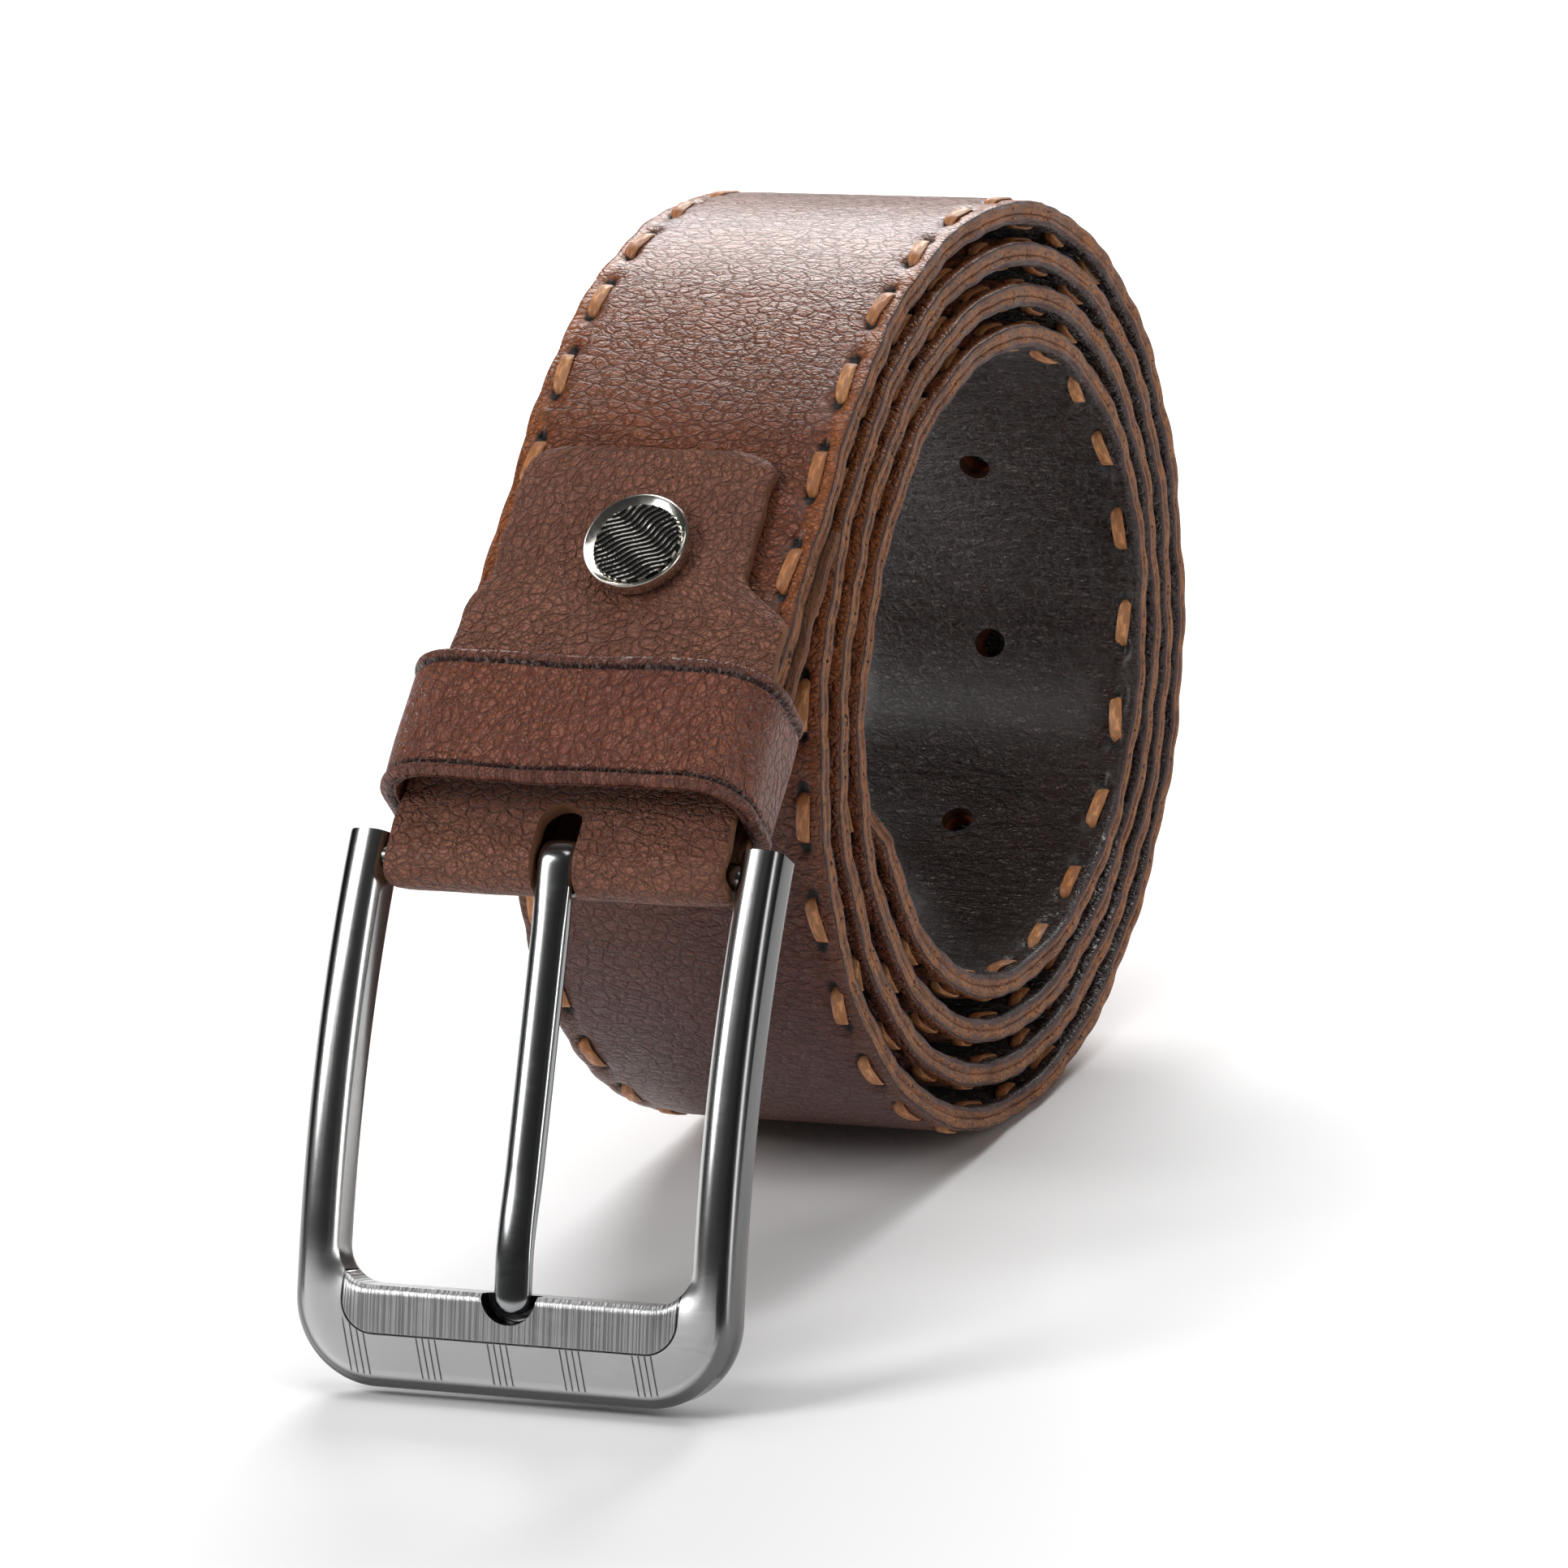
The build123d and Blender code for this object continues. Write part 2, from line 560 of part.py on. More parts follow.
bar_y, bar_z = bar_centre()
down_y, down_z = roll_direction(LEAVE)
print(f"strap length {ROLLED_LENGTH + STRAP_END:.0f} mm, roll axis at y {to_origin.position.Y:.3f} "
      f"z {to_origin.position.Z:.3f}")
print(f"bar axis at y {bar_y + to_origin.position.Y:.3f} z {bar_z + to_origin.position.Z:.3f}, "
      f"strap up-direction y {down_y:.4f} z {down_z:.4f}")
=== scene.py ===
# %% [markdown]
# # A rolled leather belt, standing on its edge
#
# The belt is one long strap of two glued leathers, rolled four times and stood up so that the buckle
# end hangs down in front and rests on the floor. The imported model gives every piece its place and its
# moving bodies. This script dresses that frame: it models each leather and metal piece again with its
# real thickness, seams and wear, and hides the plain solid that the piece stands for.
#
# Everything is in metres. X runs across the strap, Y from the buckle to the back of the roll, Z up.

# %% Load the frame
from math import cos, exp, hypot, pi, radians, sin, sqrt

import bpy
from mathutils import Matrix, Vector


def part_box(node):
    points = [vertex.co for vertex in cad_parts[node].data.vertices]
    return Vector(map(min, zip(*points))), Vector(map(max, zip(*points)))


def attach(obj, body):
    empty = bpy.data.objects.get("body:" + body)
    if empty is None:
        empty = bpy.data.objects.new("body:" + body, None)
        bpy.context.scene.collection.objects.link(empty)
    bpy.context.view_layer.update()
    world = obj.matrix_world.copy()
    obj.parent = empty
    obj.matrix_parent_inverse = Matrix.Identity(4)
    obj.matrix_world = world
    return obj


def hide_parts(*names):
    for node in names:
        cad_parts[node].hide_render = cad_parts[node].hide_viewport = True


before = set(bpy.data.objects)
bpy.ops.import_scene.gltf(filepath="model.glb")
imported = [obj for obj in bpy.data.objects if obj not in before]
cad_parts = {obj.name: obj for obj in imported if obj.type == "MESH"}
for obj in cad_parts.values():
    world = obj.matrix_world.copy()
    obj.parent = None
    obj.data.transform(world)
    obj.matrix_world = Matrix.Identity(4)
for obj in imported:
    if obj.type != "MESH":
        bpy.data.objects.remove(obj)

MM = 0.001
for name in ("Cube", "Light", "Camera"):
    if name in bpy.data.objects:
        bpy.data.objects.remove(bpy.data.objects[name])
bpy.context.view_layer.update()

# %% [markdown]
# ## Helpers for modelling
#
# An operator works on everything that is selected, and loading the frame leaves its nodes selected, so
# each helper starts by clearing the selection. `done` is the usual last step of a piece: it smooths the
# shading, names the piece, ties it to its body and hides the solid node that it stands for.


# %% Selection and finishing helpers
def only(piece):
    """Select one piece and make it active."""
    bpy.ops.object.select_all(action="DESELECT")
    piece.select_set(True)
    bpy.context.view_layer.objects.active = piece


def apply_modifiers(piece):
    """Apply a piece's modifiers from the top."""
    only(piece)
    for modifier in list(piece.modifiers):
        bpy.ops.object.modifier_apply(modifier=modifier.name)


def in_edit_mode(piece, *steps):
    """Run operators one after another on the whole mesh in edit mode."""
    only(piece)
    bpy.ops.object.mode_set(mode="EDIT")
    bpy.ops.mesh.select_mode(type="VERT")
    bpy.ops.mesh.select_all(action="SELECT")
    for step in steps:
        step()
    bpy.ops.object.mode_set(mode="OBJECT")


def merge_corners():
    """Join the corners that lie on each other, where a wrapped grid's rims meet."""
    bpy.ops.mesh.remove_doubles(threshold=0.00002)


def close_ends():
    """Fill the open rims of a tube-like mesh."""
    bpy.ops.mesh.select_all(action="DESELECT")
    bpy.ops.mesh.select_non_manifold(extend=False)
    bpy.ops.mesh.fill_holes(sides=0)
    bpy.ops.mesh.select_all(action="SELECT")


def face_outwards():
    """Turn every face of a closed mesh outwards."""
    bpy.ops.mesh.normals_make_consistent(inside=False)


# %% Joining and placing helpers
def join(pieces):
    """Make one mesh of several and return it."""
    bpy.ops.object.select_all(action="DESELECT")
    for piece in pieces:
        piece.select_set(True)
    bpy.context.view_layer.objects.active = pieces[0]
    bpy.ops.object.join()
    return pieces[0]


def place(piece, matrix):
    """Put a piece where a matrix says, and keep that place in the mesh."""
    only(piece)
    piece.matrix_world = matrix @ piece.matrix_world
    bpy.ops.object.transform_apply(location=True, rotation=True, scale=True)


# %% The last step of a piece
def done(piece, name, body, nodes, sharp=40):
    """Name a piece, smooth it, and say what it rides on and stands for."""
    piece.name = piece.data.name = name
    only(piece)
    bpy.ops.object.shade_smooth_by_angle(angle=radians(sharp))
    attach(piece, body)
    if nodes:
        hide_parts(*nodes)
    print(f"{name}: {len(piece.data.polygons)} faces")


def smooth_step(value, low, high):
    """Rise smoothly from 0 at low to 1 at high."""
    share = min(max((value - low) / (high - low), 0.0), 1.0)
    return share * share * (3 - 2 * share)


# %% [markdown]
# ## The path of the roll
#
# Seen from the side, each turn of the strap is a slightly flattened ring, and the next turn sits inside
# it. The same few sizes that shape the solid strap give the path here: it hangs straight at the front,
# meets the roll at the leaving point and winds inwards to the tip. A flat curve along that path later
# bends flat-made leather into the roll, just as a real strap is made flat and then rolled.

# %% The roll's curve
STRAP_WIDTH = 38.0 * MM
GRAIN = 1.7 * MM
LINING = 1.5 * MM
THICK = GRAIN + LINING
HALF_DEPTH, HALF_HEIGHT = 60.6 * MM, 54.1 * MM
DEPTH_PER_TURN, HEIGHT_PER_TURN, SHIFT_PER_TURN = 4.9 * MM, 4.8 * MM, 0.65 * MM
LEAVE, TIP = radians(43.0), radians(1466.0)
HANGING = 44.0 * MM


def ring_point(angle):
    """Outer surface of the strap about the roll's axis, the angle counted from the front over the top."""
    turns = (angle - pi / 2) / (2 * pi)
    y = -(HALF_DEPTH - DEPTH_PER_TURN * turns) * cos(angle) + SHIFT_PER_TURN * turns
    return y, (HALF_HEIGHT - HEIGHT_PER_TURN * turns) * sin(angle)


STEPS = 1500
ring = [ring_point(LEAVE + (TIP - LEAVE) * i / STEPS) for i in range(STEPS + 1)]
strap_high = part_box("strap_grain")[1]
axis_y = strap_high.y - max(y for y, z in ring)
axis_z = strap_high.z - max(z for y, z in ring)
ring = [(y + axis_y, z + axis_z) for y, z in ring]
step_y, step_z = ring[1][0] - ring[0][0], ring[1][1] - ring[0][1]
UP = Vector((0, step_y, step_z)).normalized()
OUT = Vector((1, 0, 0)).cross(UP)
LEAVING = Vector((0, *ring[0]))
ROLLED = sum(hypot(b[0] - a[0], b[1] - a[1]) for a, b in zip(ring, ring[1:]))
STRAP_LENGTH = ROLLED + HANGING

# The hanging end's own frame: X across, Y up along the strap, Z out of its outer face.
HANG = Matrix.Translation(LEAVING) @ Matrix((Vector((1, 0, 0)), UP, OUT)).transposed().to_4x4()
# A bending curve lies in its own XY plane. SIDE turns that plane to face along X.
SIDE = Matrix(((0, 0, 1, 0), (1, 0, 0, 0), (0, 1, 0, 0), (0, 0, 0, 1)))


# %% Bending along a curve
def bending_curve(name, points):
    """A flat curve through points, for the Curve modifier to bend a piece along."""
    data = bpy.data.curves.new(name, "CURVE")
    data.dimensions = "2D"
    line = data.splines.new("POLY")
    line.points.add(len(points) - 1)
    for point, (x, y) in zip(line.points, points):
        point.co = (x, y, 0, 1)
    curve = bpy.data.objects.new(name, data)
    bpy.context.collection.objects.link(curve)
    return curve


def bend_along(piece, curve):
    """Bend a flat piece, drawn along X, to follow a curve."""
    modifier = piece.modifiers.new("bend", "CURVE")
    modifier.object = curve
    modifier.deform_axis = "POS_X"
    apply_modifiers(piece)


HANGING_STEPS = 20
hanging_part = []
for k in range(HANGING_STEPS, 0, -1):
    down_it = HANGING * k / HANGING_STEPS
    hanging_part.append((LEAVING.y - UP.y * down_it, LEAVING.z - UP.z * down_it))
roll_curve = bending_curve("roll path", hanging_part + ring)
print(f"strap {STRAP_LENGTH / MM:.0f} mm long, roll axis at y {axis_y / MM:.1f} z {axis_z / MM:.1f} mm")

# %% [markdown]
# ## Flat leather with a closed cross-section
#
# Each leather is drawn flat first. A grid is added, and every corner is put in place by a rule: one
# direction of the grid runs along the leather and the other goes once round its cross-section, over the
# face, down one cut edge, under and up the other. Corners gather near the seams, where the shape is
# busy. The UV map keeps the flat place in metres, so that grain and fibres follow the bend later.


# %% A grid wrapped round a cross-section
def wrapped_grid(name, rows, columns, corner, chart, slots):
    """corner(row, column) gives a place, chart(row, column) its flat UV and slots(column) a material."""
    bpy.ops.object.select_all(action="DESELECT")
    bpy.ops.mesh.primitive_grid_add(x_subdivisions=rows, y_subdivisions=columns, size=1)
    piece = bpy.context.active_object
    piece.name = name
    mesh = piece.data
    cells = [(round((v.co.x + 0.5) * rows), round((v.co.y + 0.5) * columns)) for v in mesh.vertices]
    for vertex, (row, column) in zip(mesh.vertices, cells):
        vertex.co = corner(row, column)
    uv = mesh.uv_layers[0]
    uv.name = "leather map"
    flat = {}
    for loop in mesh.loops:
        cell = cells[loop.vertex_index]
        if cell not in flat:
            flat[cell] = chart(*cell)
        uv.data[loop.index].uv = flat[cell]
    for face in mesh.polygons:
        face.material_index = slots(min(cells[i][1] for i in face.vertices))
    return piece


def section(face_columns, half, thick, rounding):
    """Columns of a strip's section: (share across or edge, depth, material), once round from below."""
    bulge = 0.04 * MM
    left = [(-half + rounding * 3, -thick, 1), (-half + rounding / 2, -thick, 1),
            (-half, -thick + rounding, 1), (-half - bulge, -thick / 2, 1),
            (-half, -rounding, 1), (-half + rounding * 0.35, -rounding * 0.3, 0)]
    face = [(x, 0.0, 0) for x in face_columns]
    right = [(-x, depth, material) for x, depth, material in reversed(left)]
    return left + face + right + [left[0]]


# %% [markdown]
# ## Stitch line, puckers and the strap's two layers
#
# The thread is a flat waxed lace. It surfaces for half of each step and dives for the other half, so both
# faces show dashes, and each dash ends in a stretched hole. The pull of the thread presses a valley
# between the holes, and the leather outside the seam puckers and waves. These are real dents in the
# mesh, given by one height rule, while grain and fibres come from the material.

# %% Seam sizes
SEAM_INSET = 2.2 * MM
STITCH = 6.3 * MM
PITCH = 12.5 * MM
FIRST_STITCH = HANGING - 18.0 * MM
LAST_STITCH = STRAP_LENGTH - 34.0 * MM
TIP_TAPER = 26.0 * MM
SEAM_AT = STRAP_WIDTH / 2 - SEAM_INSET
ROW_STEP = 0.9 * MM


# %% Rules for the seam
def seam_phase(along):
    """Distance past the start of the stitch that lies nearest before a place."""
    return (along - FIRST_STITCH) % PITCH


def near_hole(along):
    """Distance along the strap to the nearest stitch hole."""
    phase = seam_phase(along)
    return min(abs(phase), abs(phase - STITCH), abs(phase - PITCH))


def seam_dent(along, across):
    """How far thread and holes press the leather down at a place."""
    if not FIRST_STITCH - STITCH < along < LAST_STITCH + STITCH:
        return 0.0
    aside = abs(abs(across) - SEAM_AT)
    hole = 0.75 * MM * exp(-((near_hole(along) / (1.15 * MM)) ** 2) - (aside / (0.85 * MM)) ** 2)
    phase = seam_phase(along)
    pulled = 0.5 - 0.5 * cos(2 * pi * near_hole(along) / (STITCH / 2)) if phase < STITCH else 0.6
    valley = 0.2 * MM * exp(-((aside / (1.2 * MM)) ** 2)) * (1 - 0.4 * pulled)
    return hole + valley


# %% Rules for the strap's edges
def edge_wave(along, side):
    """Wander of the cut edge: tucked in at the holes, with a slow uneven drift."""
    tuck = 0.16 * MM * exp(-((near_hole(along) / (1.5 * MM)) ** 2))
    drift = 0.16 * MM * sin(along * 331 + side * 1.7) + 0.1 * MM * sin(along * 127 + side)
    return -tuck + min(drift, 0.12 * MM)


def edge_lift(along, across, side):
    """The band outside the seam rises between the holes and rolls over at the very edge."""
    outside = smooth_step(abs(across), SEAM_AT + 0.2 * MM, STRAP_WIDTH / 2)
    swell = 0.06 * MM * (1 - exp(-((near_hole(along) / (1.6 * MM)) ** 2)))
    return outside * (swell - 0.26 * MM + 0.05 * MM * sin(along * 403 + side * 2.1))


def strap_half(along):
    """Half width along the strap: drawn in at the buckle end, pointed at the tip."""
    from_tip = STRAP_LENGTH - along
    half = STRAP_WIDTH / 2 - 1.6 * MM * (1 - smooth_step(along, 0.0, 22 * MM))
    if from_tip < TIP_TAPER:
        share = from_tip / TIP_TAPER
        half *= 0.16 + 0.84 * (share if share > 0.12 else sqrt(share * 0.12)) ** 0.8
    return half


# %% One layer of the strap, flat
FACE_MM = [0, 3, 6, 9, 11.5, 13.5, 14.8, 15.6, 16.1, 16.5, 16.8, 17.1, 17.5, 18.0, 18.45]
FACE = [-x * MM for x in reversed(FACE_MM[1:])] + [x * MM for x in FACE_MM]


def strap_layer(name, thick, sign):
    """A layer whose detailed face looks out of the roll (sign 1) or into it (sign -1)."""
    rows = round(STRAP_LENGTH / ROW_STEP)
    ring_columns = section(FACE, STRAP_WIDTH / 2, thick, 0.4 * MM)

    def corner(row, column):
        along = STRAP_LENGTH * row / rows
        across, depth, material = ring_columns[column]
        side = 1 if across > 0 else -1
        narrow = strap_half(along) / (STRAP_WIDTH / 2)
        at_edge = abs(across) > SEAM_AT
        near_edge = smooth_step(abs(across), SEAM_AT - 0.6 * MM, STRAP_WIDTH / 2)
        shift = side * edge_wave(along, side) * near_edge
        height = depth
        if depth > -0.8 * thick:
            lifted = 1 if depth > -thick / 2 else 0.4
            height += edge_lift(along, across, side) * lifted - seam_dent(along, across)
        out_of_roll = sign * height + (0 if sign > 0 else -THICK)
        return (along, out_of_roll, across * narrow + (shift if at_edge else 0))

    def chart(row, column):
        along = STRAP_LENGTH * row / rows
        across, depth, material = ring_columns[column]
        past_face = depth if column < len(ring_columns) / 2 else -depth
        return (along, across + past_face)

    def material_at(column):
        return max(ring_columns[column][2], ring_columns[column + 1][2])

    layer = wrapped_grid(name, rows, len(ring_columns) - 1, corner, chart, material_at)
    in_edit_mode(layer, merge_corners, close_ends, face_outwards)
    return layer


# %% Both layers
strap_outer = strap_layer("strap_outer", GRAIN, 1)
strap_inner = strap_layer("strap_inner", LINING, -1)
print("flat layers:", len(strap_outer.data.vertices), len(strap_inner.data.vertices), "corners")

# %% [markdown]
# ## Belt holes
#
# Five round holes are punched through both leathers near the tip. They are cut while the strap is still
# flat: one set of cylinders is joined and taken away from each layer with a Boolean modifier.

# %% Punch the holes
HOLE_COUNT = 5
HOLE = 3.8 * MM
HOLE_STEP = 25.0 * MM
NEAREST_HOLE = 109.0 * MM

punches = []
for number in range(HOLE_COUNT):
    bpy.ops.object.select_all(action="DESELECT")
    bpy.ops.mesh.primitive_cylinder_add(
        vertices=28, radius=HOLE / 2, depth=5 * THICK, rotation=(pi / 2, 0, 0),
        location=(STRAP_LENGTH - NEAREST_HOLE - number * HOLE_STEP, -THICK / 2, 0))
    punches.append(bpy.context.active_object)
punch = join(punches)


def cut(piece, cutter):
    """Take a cutter's shape away from a piece."""
    modifier = piece.modifiers.new("cut", "BOOLEAN")
    modifier.operation = "DIFFERENCE"
    modifier.solver = "EXACT"
    modifier.object = cutter
    apply_modifiers(piece)


for layer in (strap_outer, strap_inner):
    cut(layer, punch)
bpy.data.objects.remove(punch)
for layer in (strap_outer, strap_inner):
    bend_along(layer, roll_curve)
    place(layer, SIDE)
print("strap rolled")

# %% [markdown]
# ## Stitches
#
# One stitch is made as a flat ribbon of lace with rounded edges: it comes up out of its hole, lies on the
# leather and dives again. An Array modifier repeats it down the strap, then each copy is slanted a little
# by its number, as hand lacing is, and the whole row is bent along the roll with the leather.

# %% Lace rows
LACE_WIDTH = 1.6 * MM
LACE_THICK = 0.4 * MM
LACE_ROWS, LACE_COLUMNS = 10, 8


def lace_corner(row, column):
    """A stitch lying along X, dipping at both ends, its section a flat oval."""
    share = row / LACE_ROWS
    ends = (2 * share - 1) ** 6
    turn = 2 * pi * column / LACE_COLUMNS
    squared = cos(turn) / max(abs(cos(turn)), abs(sin(turn))) ** 0.6
    wide = LACE_WIDTH / 2 * squared * (1 - 0.35 * ends)
    lift = 0.02 * MM - 0.95 * MM * ends + LACE_THICK / 2 * sin(turn)
    return (STITCH * (0.03 + 0.94 * share), lift, wide)


def lace_chart(row, column):
    return (STITCH * row / LACE_ROWS, LACE_WIDTH * column / LACE_COLUMNS)


def lace_row(start, end, side, outwards):
    """Stitches along one edge of one face, still flat."""
    row = wrapped_grid("lace", LACE_ROWS, LACE_COLUMNS, lace_corner, lace_chart, lambda column: 0)
    in_edit_mode(row, merge_corners, close_ends, face_outwards)
    repeat = row.modifiers.new("repeat", "ARRAY")
    repeat.use_relative_offset = False
    repeat.use_constant_offset = True
    repeat.constant_offset_displace = (PITCH, 0, 0)
    repeat.count = int((end - start) / PITCH)
    apply_modifiers(row)
    for vertex in row.data.vertices:
        along, lift, wide = vertex.co
        number = int(along / PITCH)
        slant = 0.13 * sin(number * 2.4 + side) * ((along % PITCH) - STITCH / 2)
        vertex.co.x = along + start
        vertex.co.y = lift + 0.03 * MM * sin(number * 1.7) if outwards else -THICK - lift
        vertex.co.z = side * SEAM_AT * strap_half(along + start) / (STRAP_WIDTH / 2) + wide + slant
    if not outwards:
        in_edit_mode(row, face_outwards)
    return row


# %% Both rows
laces = {}
for side, name in ((-1, "left"), (1, "right")):
    outer_row = lace_row(FIRST_STITCH, LAST_STITCH, side, True)
    inner_row = lace_row(FIRST_STITCH + PITCH / 2 + 3 * PITCH, LAST_STITCH, side, False)
    laces[name] = join([outer_row, inner_row])
    bend_along(laces[name], roll_curve)
    place(laces[name], SIDE)
    print(name, "lace row:", len(laces[name].data.polygons), "faces")

# %% [markdown]
# ## Folded chape
#
# A second strip of pebbled leather wraps the buckle's bar and is clamped on the strap by the stud. Its
# front leg is cut narrow beside the stud, a little off centre, then swells at the shoulders. It is made
# flat like the strap, slotted for the prong while flat, and folded by a curve that goes down the back,
# round the bar and up the front.

# %% Chape sizes and fold
CHAPE = 1.9 * MM
CHAPE_TOP, CHAPE_BACK_TOP = 1.5 * MM, 8.0 * MM
BAR_DOWN = 52.3 * MM
FOLD = THICK / 2 + CHAPE
BACK_OUT = -THICK - 1.5 * MM
SLOT_WIDTH, SLOT_ABOVE, SLOT_BELOW = 5.0 * MM, 5.6 * MM, 4.4 * MM
STUD_DOWN = 14.5 * MM
SHOULDER_TOP, SHOULDER_END = 16.5 * MM, 23.5 * MM

BACK_STEPS, FOLD_STEPS = 30, 40
fold_line = [(-CHAPE_BACK_TOP - (HANGING - CHAPE_BACK_TOP) * k / BACK_STEPS, BACK_OUT)
             for k in range(BACK_STEPS + 1)]
fold_line += [(-BAR_DOWN - FOLD * sin(pi * k / FOLD_STEPS), -THICK / 2 - FOLD * cos(pi * k / FOLD_STEPS))
              for k in range(FOLD_STEPS + 1)]
fold_line += [(-BAR_DOWN + (BAR_DOWN - CHAPE_TOP) * k / FOLD_STEPS, CHAPE)
              for k in range(1, FOLD_STEPS + 1)]
CHAPE_LENGTH = sum(hypot(b[0] - a[0], b[1] - a[1]) for a, b in zip(fold_line, fold_line[1:]))
fold_curve = bending_curve("fold path", fold_line)
FOLD_START = CHAPE_LENGTH - (BAR_DOWN - CHAPE_TOP) - pi * FOLD


def chape_half(down):
    """Half width of the chape at a distance down its front leg."""
    shoulder = 4.3 * smooth_step(down, SHOULDER_TOP, SHOULDER_END)
    half = (14.7 + shoulder + 0.7 * smooth_step(down, 40 * MM, 52 * MM)) * MM
    corner = 4 * MM
    below_top = down - CHAPE_TOP
    if below_top < corner:
        half -= corner - sqrt(max(corner**2 - (corner - below_top) ** 2, 0.0))
    return half


def chape_shift(down):
    """How far the narrow tab sits off the strap's middle."""
    return -2.1 * MM * (1 - smooth_step(down, SHOULDER_TOP, SHOULDER_END))


# %% Rules for the flat chape
CHAPE_ROWS = 190
CHAPE_FACE = [x * 1.15 * MM for x in range(-16, 17)]
chape_columns = section(CHAPE_FACE, STRAP_WIDTH / 2, CHAPE, 0.35 * MM)


def chape_corner(row, column):
    along = CHAPE_LENGTH * row / CHAPE_ROWS
    across, depth, material = chape_columns[column]
    down = CHAPE_TOP + CHAPE_LENGTH - along
    half = chape_half(down)
    wavy = 0.12 * MM * sin(along * 900 + across * 40) + 0.1 * MM * sin(along * 417)
    flare = 0.8 * MM * exp(-(((down - 3.2 * MM) / (1.5 * MM)) ** 2)) * (1 if across > 0 else 0.2)
    share = across / (STRAP_WIDTH / 2)
    z = share * (half + flare + wavy * abs(share) ** 3) + chape_shift(down)
    y = depth
    if depth > -CHAPE / 2:
        from_stud = hypot(down - STUD_DOWN, z - chape_shift(down) / 2)
        y -= 0.22 * MM * exp(-(((from_stud - 6 * MM) / (1.3 * MM)) ** 2))
        y += 0.06 * MM * sin(along * 300 + z * 210) * sin(z * 390) - 0.35 * MM * abs(share) ** 14
    if down > BAR_DOWN + 12 * MM and depth < -CHAPE / 2:
        y += 0.4 * MM
    return (along, y, z)


def chape_chart(row, column):
    across, depth, material = chape_columns[column]
    return (CHAPE_LENGTH * row / CHAPE_ROWS, across + depth)


# %% Chape, flat, slotted and folded
chape = wrapped_grid("chape_leather", CHAPE_ROWS, len(chape_columns) - 1, chape_corner, chape_chart,
                     lambda column: max(chape_columns[column][2], chape_columns[column + 1][2]))
in_edit_mode(chape, merge_corners, close_ends, face_outwards)
bpy.ops.object.select_all(action="DESELECT")
bpy.ops.mesh.primitive_cylinder_add(
    vertices=36, radius=SLOT_WIDTH / 2, depth=6 * THICK, rotation=(pi / 2, 0, 0))
slot_punch = bpy.context.active_object
bpy.ops.object.transform_apply(location=True, rotation=True, scale=True)
slot_start = FOLD_START - SLOT_BELOW + SLOT_WIDTH / 2
slot_end = FOLD_START + pi * FOLD + SLOT_ABOVE - SLOT_WIDTH / 2
for vertex in slot_punch.data.vertices:
    vertex.co.x += slot_start if vertex.co.x < 0 else slot_end
for face in slot_punch.data.polygons:
    face.material_index = 1
cut(chape, slot_punch)
bpy.data.objects.remove(slot_punch)
for face in chape.data.polygons:
    if abs(face.center.x) < 0.1 * MM or face.center.x > CHAPE_LENGTH - 0.1 * MM:
        face.material_index = 1
bend_along(chape, fold_curve)
# The fold curve's plane is the hanging end's own up and out, with X across it.
place(chape, HANG @ SIDE)
print(f"chape cut {CHAPE_LENGTH / MM:.0f} mm long and folded")

# %% [markdown]
# ## Keeper loop
#
# The keeper is a strip of the same leather bent to a loop and stapled where its ends meet at the back.
# Each long edge is turned to a round rim, with a pressed groove beside it. It stands clear of the chape
# so that the strap's tip can pass under it.

# %% Keeper outline
KEEPER_TOP, KEEPER_TALL, KEEPER_WALL = 31.5 * MM, 15.8 * MM, 1.9 * MM
KEEPER_HALF = STRAP_WIDTH / 2 + 0.8 * MM + KEEPER_WALL
KEEPER_FRONT = CHAPE + 4.4 * MM + KEEPER_WALL
KEEPER_BACK = BACK_OUT - 0.6 * MM - KEEPER_WALL
KEEPER_FRONT_CORNER, KEEPER_BACK_CORNER = 7.2 * MM, 3.6 * MM
RIM = 1.45 * MM


def keeper_line():
    """Outline of the loop seen along the strap, from the middle of the back round the front."""
    middle = (KEEPER_FRONT + KEEPER_BACK) / 2
    tall = (KEEPER_FRONT - KEEPER_BACK) / 2
    corners = ((-1, -1, 270), (-1, 1, 180), (1, 1, 90), (1, -1, 0))
    points = [(-0.1 * MM, KEEPER_BACK)]
    for across, out, begin in corners:
        corner = KEEPER_FRONT_CORNER if out > 0 else KEEPER_BACK_CORNER
        cx, cz = across * (KEEPER_HALF - corner), middle + out * (tall - corner)
        for k in range(19):
            a = radians(begin - 5 * k)
            points.append((cx + corner * cos(a), cz + corner * sin(a)))
    points.append((0.1 * MM, KEEPER_BACK))
    filled = []
    for (ax, ay), (bx, by) in zip(points, points[1:]):
        pieces = max(1, int(hypot(bx - ax, by - ay) / (1.0 * MM)))
        filled += [(ax + (bx - ax) * k / pieces, ay + (by - ay) * k / pieces) for k in range(pieces)]
    return filled + [points[-1]]


# %% Keeper, flat and bent to a loop
keeper_path = keeper_line()
KEEPER_ROUND = sum(hypot(b[0] - a[0], b[1] - a[1]) for a, b in zip(keeper_path, keeper_path[1:]))
keeper_curve = bending_curve("keeper path", keeper_path)
KEEPER_MM = [0, 1.5, 3, 4.4, 5.4, 5.9, 6.15, 6.35, 6.5, 6.65, 6.85, 7.1, 7.35, 7.55]
KEEPER_FACE = [-x * MM for x in reversed(KEEPER_MM[1:])] + [x * MM for x in KEEPER_MM]
keeper_columns = section(KEEPER_FACE, KEEPER_TALL / 2, KEEPER_WALL, 0.75 * MM)
KEEPER_ROWS = 260


